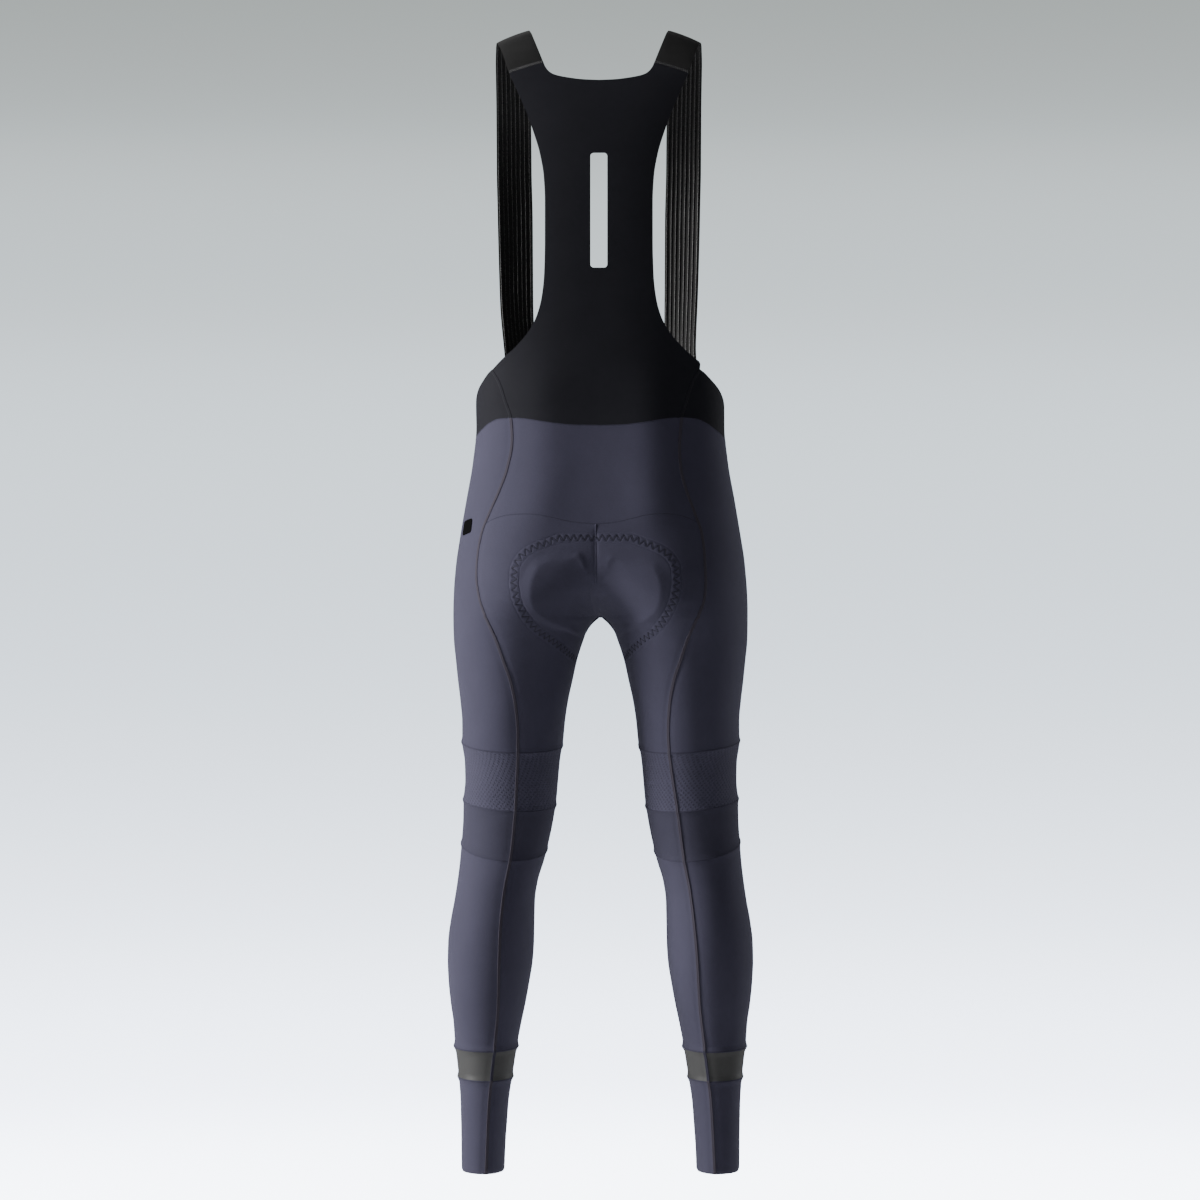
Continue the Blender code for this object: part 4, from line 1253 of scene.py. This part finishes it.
def pad_line():
    """Points down the middle of the pad, from the seat under the crotch to the front."""
    dip = np.sin(np.linspace(0, math.pi / 2, 90))
    back_down = PAD_TOP + (CROTCH - PAD_TOP) * dip
    front_down = (PAD_FRONT + (CROTCH - PAD_FRONT) * dip)[::-1]
    back = surface(np.ones(len(back_down)), back_down)
    front = surface(np.zeros(len(front_down)), front_down)
    return np.concatenate([back, front[1:]])


def walk(points, reach, steps=60):
    """Paths over the body from points of its middle, straight out to the left."""
    heading = np.tile([1.0, 0.0, 0.0], (len(points), 1))
    path = [points]
    for _ in range(steps):
        points = points + heading * (reach / steps)[:, None]
        for _ in range(3):
            slope = gradient(points)
            points = points - (field(points) / (slope**2).sum(axis=1))[:, None] * slope
        out = normals(points)
        heading = unit(heading - (heading * out).sum(axis=1)[:, None] * out)
        path.append(points)
    return np.stack(path, axis=1)


def make_pad(finish):
    """The seat pad inside the seat, with its edge thinned and channels pressed into its face."""
    rows = table(PAD_COLUMNS, PAD)
    line = pad_line()
    run = run_along(line)
    at = even_lengths(run, 4)
    middle = read_at(line, run, at)
    middle[:, 0] = 0
    scaled = rows["along"] * run[-1] / rows["along"][-1]
    half_width = smooth_curve(scaled, rows["half_width"], at)
    thick = smooth_curve(scaled, rows["thickness"], at)
    columns = np.arange(0, 61, 2)
    points = walk(middle, half_width)[:, columns].reshape(-1, 3)
    across = np.tile(columns / 60, len(at))
    length = np.repeat(at, len(columns))
    thick = np.repeat(thick, len(columns))
    depth = PAD_EDGE + (thick - PAD_EDGE) * smooth_step((1 - across) / PAD_EDGE_SHARE)
    channel = sum(np.exp(-(((across - place) / width) ** 2)) for place, width in PAD_CHANNELS)
    pressed = np.clip(channel, 0, 1) * smooth_step((length - 25) / 30)
    depth = depth - PAD_CHANNEL_DEPTH * pressed
    into = -normals(points)
    near = points + (WALL + PAD_CLEARANCE) * into
    far = near + depth[:, None] * into
    near[:: len(columns), 0] = 0
    far[:: len(columns), 0] = 0
    faces = grid_faces(len(at) - 1, len(columns) - 1)
    places = np.stack([across * np.repeat(half_width, len(columns)), -length], axis=1)
    return wall("pad_form", *across_middle((near, far), (near, far), faces, places), finish)


def make_label(finish):
    """A small bare square sewn on the left hip."""
    u = share_on(LABEL_X, LABEL_DOWN, True)
    spot, out = on_cloth(np.array([u]), np.array([float(LABEL_DOWN)]))
    spot, out = spot[0], out[0]
    level = unit(np.cross((0, 0, 1), out))
    right = level * math.cos(LABEL_TILT) + np.cross(out, level) * math.sin(LABEL_TILT)
    top = np.cross(out, right)
    above = spot + LABEL_LIFT * out
    turn = np.arange(LABEL_POINTS) * 2 * math.pi / LABEL_POINTS + math.pi / 4
    rounded = np.abs(np.cos(turn)) ** LABEL_SQUARENESS + np.abs(np.sin(turn)) ** LABEL_SQUARENESS
    rounded = rounded ** (-1 / LABEL_SQUARENESS)
    points = []
    for inset, height in LABEL_RINGS:
        across = (LABEL_WIDTH / 2 - inset) * rounded * np.cos(turn)
        up = (LABEL_HEIGHT / 2 - inset) * rounded * np.sin(turn)
        for v, w in zip(across, up):
            points.append(settle(above + right * v + top * w, out) + height * out)
    points.append(settle(above, out) + LABEL_RINGS[-1][1] * out)
    middle = len(points) - 1
    last = middle - LABEL_POINTS
    faces = ring_faces(len(LABEL_RINGS), LABEL_POINTS)
    faces += [[last + k, last + (k + 1) % LABEL_POINTS, middle] for k in range(LABEL_POINTS)]
    return new_object("hip_label_patch", np.array(points), faces, finish)


def settle(point, out):
    """The point moved against the given direction until it meets the body."""
    for _ in range(8):
        slope = gradient(point[None])[0]
        point = point - field(point[None])[0] / np.dot(slope, out) * out
    return point


def share_on(x, down, back):
    """How far round the section at a height the place with the given x lies."""
    ring_x, ring_y = half_ring(np.array([float(down)]))
    return share_at(ring_x[0], ring_lengths(ring_x, ring_y)[0], x, back)


def ribbon(name, line, out, profile, finish, side):
    """A raised strip along a line on the cloth, from its offsets across and its heights."""
    across = unit(np.cross(out, unit(np.gradient(line, axis=0))))
    offsets, heights = np.array(profile, float).T
    rings = line[:, None, :] + offsets[None, :, None] * across[:, None, :]
    rings = rings + heights[None, :, None] * out[:, None, :]
    if side == "right":
        rings = mirrored(rings)
    return loft(name, rings, finish, strip_places(offsets, run_along(line)))


def two_ribbons(name, u, downs, profile, finish):
    """The same strip on the left and on the right."""
    made = []
    for side, sign in SIDES.items():
        line, out = on_cloth(u, downs, sign)
        made.append(ribbon(f"{name}_{side}", line, out, profile, finish, side))
    return made


def domed(width, height, count=7, root=-0.5, square=0.6):
    """A low rounded profile whose sides run down into the cloth."""
    turn = np.linspace(0, math.pi, count)
    rows = [(-width / 2 * math.cos(t), height * math.sin(t) ** square) for t in turn]
    return [(-width / 2, root)] + rows + [(width / 2, root)]


def make_side_seams(black_finish, slate_finish, band_finish):
    """The flatlock seam down the back of each side, from the bib's corner to the hem."""
    corner = YOKE_TOP[-1][1]
    runs = [
        ("black", BIB_CORNER, corner, black_finish),
        ("leg", corner, BAND_TOP[0], slate_finish),
        ("band", BAND_TOP[0], BAND_LOW[0], band_finish),
        ("cuff", BAND_LOW[0], HEM - 0.4, slate_finish),
    ]
    profile = domed(FLATLOCK_WIDTH, FLATLOCK_HEIGHT, 9, square=0.35)
    made = []
    for name, top, low, finish in runs:
        downs = np.linspace(top, low, cells(low - top, RIBBON_STEP) + 1)
        made += two_ribbons(f"side_seam_{name}", side_seam(downs), downs, profile, finish)
    return made


def make_ring_seams(finish):
    """The seams round the knees and the ankle bands."""
    profile = domed(BONDED_WIDTH, BONDED_HEIGHT)
    made = []
    for name, edge, _, _ in RING_SWELLS:
        u = np.linspace(0, 1, cells(ring_length(float(edge[0])), RIBBON_STEP) + 1)
        made += two_ribbons(f"{name}_seam", u, leg_edge(edge, u), profile, finish)
    return made


def make_trunk_seams(bonded_finish, ridge_finish):
    """The edge of the black cloth, the yoke's lower seam, and the seams down the middle."""
    made = []
    profile = domed(BONDED_WIDTH * 0.6, BONDED_HEIGHT * 0.8)
    edges = [
        ("black_edge_front", front_share, BLACK_EDGE),
        ("black_edge_back", back_share, YOKE_TOP),
        ("yoke_seam", back_share, YOKE_LOW),
    ]
    shares = np.linspace(0, 1, 260)
    for name, share_of, edge in edges:
        downs = through(edge, shares)
        made += two_ribbons(name, share_of(shares, downs), downs, profile, bonded_finish)
    turn = np.sin(np.linspace(0, math.pi / 2, 160))
    downs = YOKE_LOW[0][1] + (CROTCH - YOKE_LOW[0][1]) * turn
    back = surface(np.ones(len(downs)), downs)
    downs = BLACK_EDGE[0][1] + (CROTCH - BLACK_EDGE[0][1]) * turn
    front = surface(np.zeros(len(downs)), downs)[::-1]
    middle = np.concatenate([back, front[1:]])
    run = run_along(middle)
    middle = read_at(middle, run, even_lengths(run, RIBBON_STEP))
    middle[:, 0] = 0
    out = normals(middle)
    out[:, 0] = 0
    out = unit(out)
    middle = middle + (insert_relief(middle, 0) + valley_relief(middle))[:, None] * out
    profile = domed(RIDGE_WIDTH * 0.6, RIDGE_HEIGHT)
    made.append(ribbon("middle_seam", middle, out, profile, ridge_finish, "left"))
    downs = np.arange(CROTCH + 1.0, KNEE_TOP[0], RIBBON_STEP)
    profile = domed(RIDGE_WIDTH, RIDGE_HEIGHT * 0.7)
    line, out = on_cloth(np.zeros(len(downs)), downs)
    for side in SIDES:
        made.append(ribbon(f"inside_seam_{side}", line, out, profile, ridge_finish, side))
    return made


def stitch_path():
    """The pad's stitching line on the left side, from the back's middle round to the front's."""
    back, _ = smooth_line(STITCH_BACK, 240)
    front, _ = smooth_line(STITCH_FRONT, 200)
    shares = [(share_on(x, down, True), down) for x, down in back]
    shares += [(share_on(x, down, False), down) for x, down in front[1:]]
    line, out = on_cloth(*np.array(shares).T)
    run = run_along(line)
    at = even_lengths(run, 0.8)
    return read_at(line, run, at), unit(read_at(out, run, at))


def swing(run, pitch):
    """A zigzag from -1 to 1 and back over the given lengths, with a whole number of swings."""
    swings = int(round(run[-1] / pitch * 2))
    return 1 - 2 * np.abs(run / run[-1] * swings % 2 - 1)


def zigzag_line(line, out, pitch, height):
    """A line that swings from side to side of another one, with the directions out of it."""
    run = run_along(line)
    at = np.linspace(0, run[-1], int(round(run[-1] / pitch * 2)) * 6 + 1)
    path = read_at(line, run, at)
    up = unit(read_at(out, run, at))
    across = np.cross(up, unit(np.gradient(path, axis=0)))
    return path + (swing(at, pitch) * height / 2)[:, None] * across, up


def make_thread(name, line, out, radius, finish, side, sides=6):
    """A round thread along a line."""
    across = unit(np.cross(out, unit(np.gradient(line, axis=0))))
    turn = np.linspace(0, 2 * math.pi, sides, endpoint=False)
    ring = np.cos(turn)[:, None] * across[:, None, :] + np.sin(turn)[:, None] * out[:, None, :]
    rings = line[:, None, :] + radius * ring
    rings = rings if side == "left" else mirrored(rings)[:, ::-1]
    return loft(name, rings, finish, strip_places(turn * radius, run_along(line)))


def make_pad_stitches(shaded_thread_finish, groove_finish):
    """The zigzag that holds the pad, in the puckered groove that it pulls into the cloth."""
    line, out = stitch_path()
    zig, up = zigzag_line(line, out, ZIGZAG_PITCH, ZIGZAG_HEIGHT)
    # The thread lies sunk in the groove; its darker finish is painted shade of that groove.
    sunk = zig - (ZIGZAG_GROOVE - 0.45) * up
    made = []
    for side in SIDES:
        made.append(make_thread(f"pad_stitch_{side}", sunk, up, ZIGZAG_THREAD, shaded_thread_finish, side))
        made.append(pucker_strip(f"pad_pucker_{side}", line, out, groove_finish, side))
    return made


def pucker_strip(name, line, out, finish, side):
    """A strip of the seat's own cloth, drawn into a zigzag groove and level with it at its edges."""
    across = np.cross(out, unit(np.gradient(line, axis=0)))
    run = run_along(line)
    offsets = np.linspace(-PUCKER_HALF_WIDTH, PUCKER_HALF_WIDTH, 27)
    zig = swing(run, ZIGZAG_PITCH) * ZIGZAG_HEIGHT / 2
    lean = ZIGZAG_PITCH / 2 / math.hypot(ZIGZAG_PITCH / 2, ZIGZAG_HEIGHT)
    apart = np.abs(offsets[None, :] - zig[:, None]) * lean
    groove = ZIGZAG_GROOVE * np.exp(-((apart / ZIGZAG_GROOVE_WIDTH) ** 2))
    within = 1 - smooth_step((np.abs(offsets) - ZIGZAG_HEIGHT / 2 + 0.4) / 1.6)
    tuck = 0.35 * smooth_step((np.abs(offsets) - PUCKER_HALF_WIDTH + 1.2) / 1.2)
    height = 0.05 + (PUCKER_SWELL - groove) * within[None, :] - tuck[None, :]
    top = line[:, None, :] + offsets[None, :, None] * across[:, None, :]
    under = top[:, ::-1] - PUCKER_WALL * out[:, None, :]
    top = top + height[..., None] * out[:, None, :]
    rings = np.concatenate([top, under], axis=1)
    if side == "right":
        rings = mirrored(rings)
    return loft(name, rings, finish, strip_places(np.concatenate([offsets, offsets[::-1]]), run))


def make_tab_stitches(finish):
    """The zigzag that sews each strap to its tab, and to the top of the front."""
    made = []
    places = np.linspace(-0.48, 0.48, 60)
    for side, sign in SIDES.items():
        middle, width, bow, out = strap_edges(sign)
        for where, index in (("tab", 1), ("foot", len(middle) - 2)):
            line = middle[index] + places[:, None] * width[index]
            line = line + (bow[index] * (1 - (2 * places) ** 2))[:, None] * out[index]
            zig, up = zigzag_line(line, np.tile(out[index], (len(line), 1)), TAB_PITCH, TAB_ZIGZAG)
            made.append(make_thread(f"{where}_stitch_{side}", zig, up, TAB_THREAD, finish, side, 5))
    return made


class Nodes:
    """A short way to write the nodes of a tree."""

    def __init__(self, tree):
        self.tree = tree

    def node(self, kind, **values):
        made = self.tree.nodes.new(kind)
        for key, value in values.items():
            setattr(made, key, value)
        return made

    def feed(self, target, value):
        """Gives an input a number, a colour or another node's output."""
        if isinstance(value, bpy.types.NodeSocket):
            self.tree.links.new(value, target)
        else:
            target.default_value = value

    def math(self, operation, *values):
        """A Math node; a number or a socket may be given for each input."""
        made = self.node("ShaderNodeMath", operation=operation)
        for target, value in zip(made.inputs, values):
            self.feed(target, value)
        return made.outputs[0]

    def parts(self, vector):
        """The three parts of a vector."""
        made = self.node("ShaderNodeSeparateXYZ")
        self.feed(made.inputs[0], vector)
        return made.outputs

    def spread(self, value, low, high, first=0.0, last=1.0, **how):
        """A value between two limits, brought between two others."""
        made = self.node("ShaderNodeMapRange", **how)
        limits = {"From Min": low, "From Max": high, "To Min": first, "To Max": last}
        for key, limit in {"Value": value, **limits}.items():
            self.feed(made.inputs[key], limit)
        return made.outputs[0]

    def spot(self, kind):
        return self.node("ShaderNodeTexCoord").outputs[kind]

    def seen(self):
        """1 for what the camera sees directly."""
        return self.node("ShaderNodeLightPath").outputs["Is Camera Ray"]


class Finish(Nodes):
    """A material, from cloth places in millimetres to its shader."""

    INPUTS = {
        "base": "Base Color",
        "rough": "Roughness",
        "normal": "Normal",
        "specular": "Specular IOR Level",
        "sheen": "Sheen Weight",
        "nap": "Sheen Roughness",
        "tint": "Sheen Tint",
        "glow": "Emission Strength",
        "glow_tint": "Emission Color",
        "alpha": "Alpha",
    }

    def __init__(self, name):
        self.material = bpy.data.materials.new(name)
        self.material.use_nodes = True
        super().__init__(self.material.node_tree)
        self.shader = self.tree.nodes["Principled BSDF"]
        self.shader.inputs["Metallic"].default_value = 0.0

    def places(self):
        """Across and along the cloth, in millimetres."""
        across, down, _ = self.parts(self.node("ShaderNodeUVMap", uv_map="cloth").outputs[0])
        return self.math("MULTIPLY", across, 1000.0), self.math("MULTIPLY", down, 1000.0)

    def noise(self, scale, detail=3.0, roughness=0.55):
        """Noise in the object's own space; scale is in turns per metre."""
        made = self.node("ShaderNodeTexNoise")
        values = {"Scale": scale, "Detail": detail, "Roughness": roughness}
        for key, value in {"Vector": self.spot("Object"), **values}.items():
            self.feed(made.inputs[key], value)
        return made.outputs["Fac"]

    def blend(self, factor, colour, dark, light):
        """A colour from its darker to its lighter tone, by a factor socket."""
        mix = self.node("ShaderNodeMix", data_type="RGBA")
        self.feed(mix.inputs["Factor"], factor)
        self.feed(mix.inputs["A"], (*tone(colour, dark), 1))
        self.feed(mix.inputs["B"], (*tone(colour, light), 1))
        return mix.outputs["Result"]

    def bump(self, height, strength, distance):
        made = self.node("ShaderNodeBump")
        for key, value in {"Height": height, "Strength": strength, "Distance": distance}.items():
            self.feed(made.inputs[key], value)
        return made.outputs["Normal"]

    def wave(self, value, period):
        """A sine of a place in millimetres, from 0 to 1."""
        turned = self.math("MULTIPLY", value, 2 * math.pi / period)
        return self.math("MULTIPLY_ADD", self.math("SINE", turned), 0.5, 0.5)

    def dress(self, **inputs):
        """Sets or links inputs of the shader, and gives the material."""
        for key, value in inputs.items():
            self.feed(self.shader.inputs[self.INPUTS[key]], value)
        return self.material


def tone(colour, factor):
    return tuple(channel * factor for channel in colour)


def knit(name, colour, roughness, sheen, stitch=0.9, mesh_pitch=None, strength=0.35):
    """Stretch knit: fine wales and courses, a heather of two tones, and a soft nap."""
    nodes = Finish(name)
    across, down = nodes.places()
    wale = nodes.wave(across, stitch)
    course = nodes.wave(nodes.math("MULTIPLY_ADD", wale, 0.25, down), stitch * 0.75)
    loops = nodes.math("MULTIPLY", wale, course)
    mottled = nodes.noise(900.0, 4.0, 0.6)
    cloudy = nodes.noise(14.0, 3.0, 0.5)
    shade = nodes.math("MULTIPLY_ADD", mottled, 0.55, nodes.math("MULTIPLY", cloudy, 0.45))
    height = nodes.math("MULTIPLY_ADD", mottled, 0.35, loops)
    deep = 0.14
    if mesh_pitch:
        deep = 0.22
        lean = nodes.wave(nodes.math("ADD", across, down), mesh_pitch)
        back = nodes.wave(nodes.math("SUBTRACT", across, down), mesh_pitch)
        hole = nodes.math("POWER", nodes.math("MULTIPLY", lean, back), 1.6)
        shade = nodes.math("MULTIPLY_ADD", hole, -0.75, shade)
        height = nodes.math("MULTIPLY_ADD", hole, -2.6, height)
    shade = nodes.spread(shade, 0.25, 0.75)
    return nodes.dress(
        base=nodes.blend(shade, colour, 1 - deep, 1 + deep),
        rough=nodes.math("MULTIPLY_ADD", mottled, 0.12, roughness - 0.06),
        normal=nodes.bump(height, strength, 0.00022),
        sheen=sheen,
        nap=0.45,
        tint=NAP_TINT,
        specular=0.25,
    )


def elastic(name, colour, roughness):
    """Woven elastic: short picks across, in close rows."""
    nodes = Finish(name)
    across, along_it = nodes.places()
    row = nodes.wave(along_it, 1.1)
    pick = nodes.wave(nodes.math("MULTIPLY_ADD", row, 0.5, across), 0.8)
    grain = nodes.noise(1400.0, 3.0, 0.6)
    height = nodes.math("MULTIPLY_ADD", grain, 0.6, nodes.math("MULTIPLY", row, pick))
    return nodes.dress(
        base=nodes.blend(height, colour, 0.6, 1.5),
        rough=nodes.math("MULTIPLY_ADD", grain, 0.2, roughness - 0.1),
        normal=nodes.bump(height, 0.5, 0.0003),
        sheen=0.1,
    )


def glossy_ridge(name, colour):
    """The smooth filament face of the strap's ridges."""
    nodes = Finish(name)
    _, along_it = nodes.places()
    grain = nodes.noise(600.0, 2.0, 0.5)
    return nodes.dress(
        base=nodes.blend(grain, colour, 0.8, 1.3),
        rough=nodes.math("MULTIPLY_ADD", grain, 0.14, 0.20),
        normal=nodes.bump(nodes.wave(along_it, 0.9), 0.12, 0.0001),
        specular=0.45,
    )


def seam_thread(name, colour):
    """Sewing that covers a seam: threads that cross from side to side between two needle rows."""
    nodes = Finish(name)
    across, along_it = nodes.places()
    lean = nodes.wave(nodes.math("MULTIPLY_ADD", across, 0.55, along_it), THREAD_PERIOD)
    back = nodes.wave(nodes.math("MULTIPLY_ADD", across, -0.55, along_it), THREAD_PERIOD)
    threads = nodes.math("MAXIMUM", lean, back)
    side = nodes.math("SUBTRACT", nodes.math("ABSOLUTE", across), FLATLOCK_WIDTH * 0.33)
    needle = nodes.math("MULTIPLY_ADD", nodes.math("ABSOLUTE", side), -2.2, 1.0)
    needle = nodes.math("MAXIMUM", needle, 0.0)
    height = nodes.math("MULTIPLY_ADD", needle, 0.9, threads)
    return nodes.dress(
        base=nodes.blend(threads, colour, 0.65, 1.2),
        rough=0.75,
        normal=nodes.bump(height, 0.6, 0.0003),
        specular=0.2,
        sheen=0.15,
    )


def plain_thread(name, colour):
    """A twisted sewing thread."""
    nodes = Finish(name)
    across, along_it = nodes.places()
    twist = nodes.wave(nodes.math("MULTIPLY_ADD", across, 1.2, along_it), 0.7)
    return nodes.dress(
        base=nodes.blend(twist, colour, 0.75, 1.2),
        rough=0.55,
        normal=nodes.bump(twist, 0.4, 0.0002),
    )


def coated_band(name, colour):
    """The ankle band: a smooth film with a fine bead and a soft shine."""
    nodes = Finish(name)
    grain = nodes.noise(2600.0, 2.0, 0.5)
    cloudy = nodes.noise(30.0, 3.0, 0.5)
    shade = nodes.math("MULTIPLY_ADD", grain, 0.6, nodes.math("MULTIPLY", cloudy, 0.4))
    return nodes.dress(
        base=nodes.blend(shade, colour, 0.85, 1.15),
        rough=nodes.math("MULTIPLY_ADD", grain, 0.15, 0.42),
        normal=nodes.bump(grain, 0.25, 0.00012),
        specular=0.45,
    )


def smooth_patch(name, colour):
    """The label's face."""
    nodes = Finish(name)
    grain = nodes.noise(1800.0, 3.0, 0.5)
    return nodes.dress(
        base=nodes.blend(grain, colour, 0.8, 1.3),
        rough=nodes.math("MULTIPLY_ADD", grain, 0.15, 0.7),
        normal=nodes.bump(grain, 0.3, 0.0001),
        specular=0.08,
    )


def add_camera():
    """Straight on to the back, at the height of the photo's middle."""
    lens = bpy.data.cameras.new("camera")
    lens.sensor_width = SENSOR
    lens.lens = SENSOR * CAMERA_DISTANCE / FRAME_HEIGHT
    lens.clip_end = 60.0
    camera = linked("camera", lens)
    camera.location = CAMERA_PLACE
    camera.rotation_euler = (math.pi / 2, 0, math.pi)
    bpy.context.scene.camera = camera


def add_lights():
    """Each of the lights, turned to what it is aimed at."""
    for name, place, aim, size, power, colour in LIGHTS:
        lamp = bpy.data.lights.new(name, "AREA")
        lamp.shape = "RECTANGLE"
        lamp.size, lamp.size_y = size
        lamp.energy = power
        lamp.color = colour
        light = linked(name, lamp)
        light.location = place
        light.rotation_euler = (Vector(aim) - Vector(place)).to_track_quat("-Z", "Y").to_euler()


def add_floor():
    """A plain pale floor that fades out some way from the garment."""
    bpy.ops.mesh.primitive_circle_add(
        vertices=96, radius=FLOOR_RADIUS, fill_type="NGON", location=(0, 0, FLOOR_Z)
    )
    floor = bpy.context.object
    floor.name = "floor"
    nodes = Finish("floor")
    length = nodes.node("ShaderNodeVectorMath", operation="LENGTH")
    nodes.feed(length.inputs[0], nodes.spot("Object"))
    far = length.outputs["Value"]
    finish = nodes.dress(
        base=FLOOR_COLOUR,
        rough=0.9,
        glow_tint=FLOOR_GLOW_TINT,
        glow=nodes.math("MULTIPLY", nodes.seen(), FLOOR_GLOW),
        alpha=nodes.spread(far, *FLOOR_FADE, 1.0, 0.0, interpolation_type="SMOOTHSTEP"),
    )
    floor.data.materials.append(finish)


def add_background():
    """A studio grey that lightens downward, dimmer as a light than it looks."""
    world = bpy.data.worlds.new("studio")
    bpy.context.scene.world = world
    world.use_nodes = True
    nodes = Nodes(world.node_tree)
    down = nodes.spread(nodes.parts(nodes.spot("Generated"))[2], BACKGROUND_TOP, -BACKGROUND_TOP)
    shade = nodes.node("ShaderNodeFloatCurve")
    for place, value in BACKGROUND_SHADE[1:-1]:
        shade.mapping.curves[0].points.new(place, value)
    shade.mapping.update()
    nodes.feed(shade.inputs["Value"], down)
    tint = nodes.node("ShaderNodeValToRGB")
    top, middle, low = BACKGROUND_TINTS
    tint.color_ramp.elements[0].color = top
    tint.color_ramp.elements[1].color = low
    tint.color_ramp.elements.new(BACKGROUND_TINT_MIDDLE).color = middle
    nodes.feed(tint.inputs[0], down)
    stops = nodes.math("MULTIPLY_ADD", shade.outputs[0], BACKGROUND_STOPS, BACKGROUND_LEAST)
    shown = world.node_tree.nodes["Background"]
    nodes.feed(shown.inputs["Color"], tint.outputs[0])
    nodes.feed(shown.inputs["Strength"], nodes.math("POWER", 2.0, stops))
    lit = nodes.node("ShaderNodeBackground")
    nodes.feed(lit.inputs["Color"], SURROUND_TINT)
    nodes.feed(lit.inputs["Strength"], SURROUND)
    mix = nodes.node("ShaderNodeMixShader")
    for target, value in zip(mix.inputs, (nodes.seen(), lit.outputs[0], shown.outputs[0])):
        nodes.feed(target, value)
    nodes.feed(world.node_tree.nodes["World Output"].inputs["Surface"], mix.outputs[0])


def settle_in(piece, slot, *nodes, flat=None, **cut):
    """The piece rides on the garment and stands for its CAD nodes; a panel's flat size is not used."""
    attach(piece, "root")
    if nodes:
        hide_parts(*nodes)


def build():
    """Every piece of the garment, with its finish."""
    slate = knit("slate_knit", SLATE, 0.78, 0.25)
    mesh_knit = knit("slate_mesh", SLATE_MESH, 0.78, 0.2, mesh_pitch=MESH_PITCH, strength=0.8)
    dark = knit("dark_knit", SLATE_DARK, 0.8, 0.2)
    black = knit("black_knit", BLACK, 0.75, 0.06, stitch=0.8)
    band = coated_band("olive_band", OLIVE)
    strap_band = elastic("strap_elastic", STRAP_BLACK, 0.7)
    strap_ridge = glossy_ridge("strap_ridges", RIB_TONE_AND_GLINT)
    seam = seam_thread("seam_thread", SEAM)
    black_seam = seam_thread("black_seam_thread", tone(BLACK, 1.1))
    band_seam = seam_thread("band_seam_thread", tone(SLATE_DARK, 0.75))
    bonded = knit("bonded_seam", tone(SLATE, 0.78), 0.8, 0.2)
    ridge = knit("ridge_seam", tone(SLATE, 0.95), 0.75, 0.25)
    # The pad's thread is the cloth's own colour, cut to six tenths of its tone as painted shade of the
    # puckered groove it lies in.
    thread = plain_thread("pad_thread_painted_shade", tone(SLATE, 0.6))
    tab_thread = plain_thread("tab_thread", TAB_GREY)
    foam = knit("pad_foam", PAD_GREY, 0.85, 0.3, stitch=1.4)
    label = smooth_patch("label", LABEL_BLACK)
    for name, pieces in (("seat", make_seats(slate)), ("thigh", make_thighs(slate))):
        for side, piece in zip(SIDES, pieces):
            settle_in(piece, "slate_knit", f"{name}_{side}", flat=FLAT[name])
    yoke = make_band("back_yoke", back_share, 120, YOKE_TOP, YOKE_LOW, slate)
    settle_in(yoke, "slate_knit", "back_yoke", flat=FLAT["back_yoke"])
    front = make_band("front_bib", front_share, 300, FRONT_TOP, BLACK_EDGE, black)
    settle_in(front, "black_knit", "front_bib", flat=FLAT["front_bib"])
    bib = make_back_bib(black)
    settle_in(bib, "black_knit", "back_bib", flat=FLAT["back_bib"], area=BIB_AREA)
    tubes = [
        ("knee_upper", KNEE_TOP, KNEE_MIDDLE, mesh_knit, "slate_mesh"),
        ("knee_lower", KNEE_MIDDLE, KNEE_LOW, dark, "dark_knit"),
        ("calf", KNEE_LOW, BAND_TOP, slate, "slate_knit"),
        ("ankle_band", BAND_TOP, BAND_LOW, band, "olive_band"),
        ("cuff", BAND_LOW, HEM_EDGE, slate, "slate_knit"),
    ]
    for name, top, low, finish, slot in tubes:
        for side, piece in zip(SIDES, make_tube(name, top, low, finish)):
            settle_in(piece, slot, f"{name}_{side}", flat=FLAT[name])
    for side in SIDES:
        strap, ridges = make_strap(side, strap_band, strap_ridge)
        settle_in(ridges, "strap_elastic")
        flat = FLAT["strap"]
        settle_in(strap, "strap_elastic", f"strap_{side}", flat=flat, with_pieces=[ridges])
    sewing = make_side_seams(black_seam, seam, band_seam) + make_ring_seams(bonded)
    sewing += make_trunk_seams(bonded, ridge) + make_pad_stitches(thread, slate)
    for piece in sewing:
        settle_in(piece, "slate_knit")
    for piece in make_tab_stitches(tab_thread):
        settle_in(piece, "strap_elastic")
    pad = make_pad(foam)
    settle_in(pad, "pad_foam", "pad")
    settle_in(make_label(label), "label", "hip_label")


add_camera()
add_lights()
add_background()
add_floor()
build()
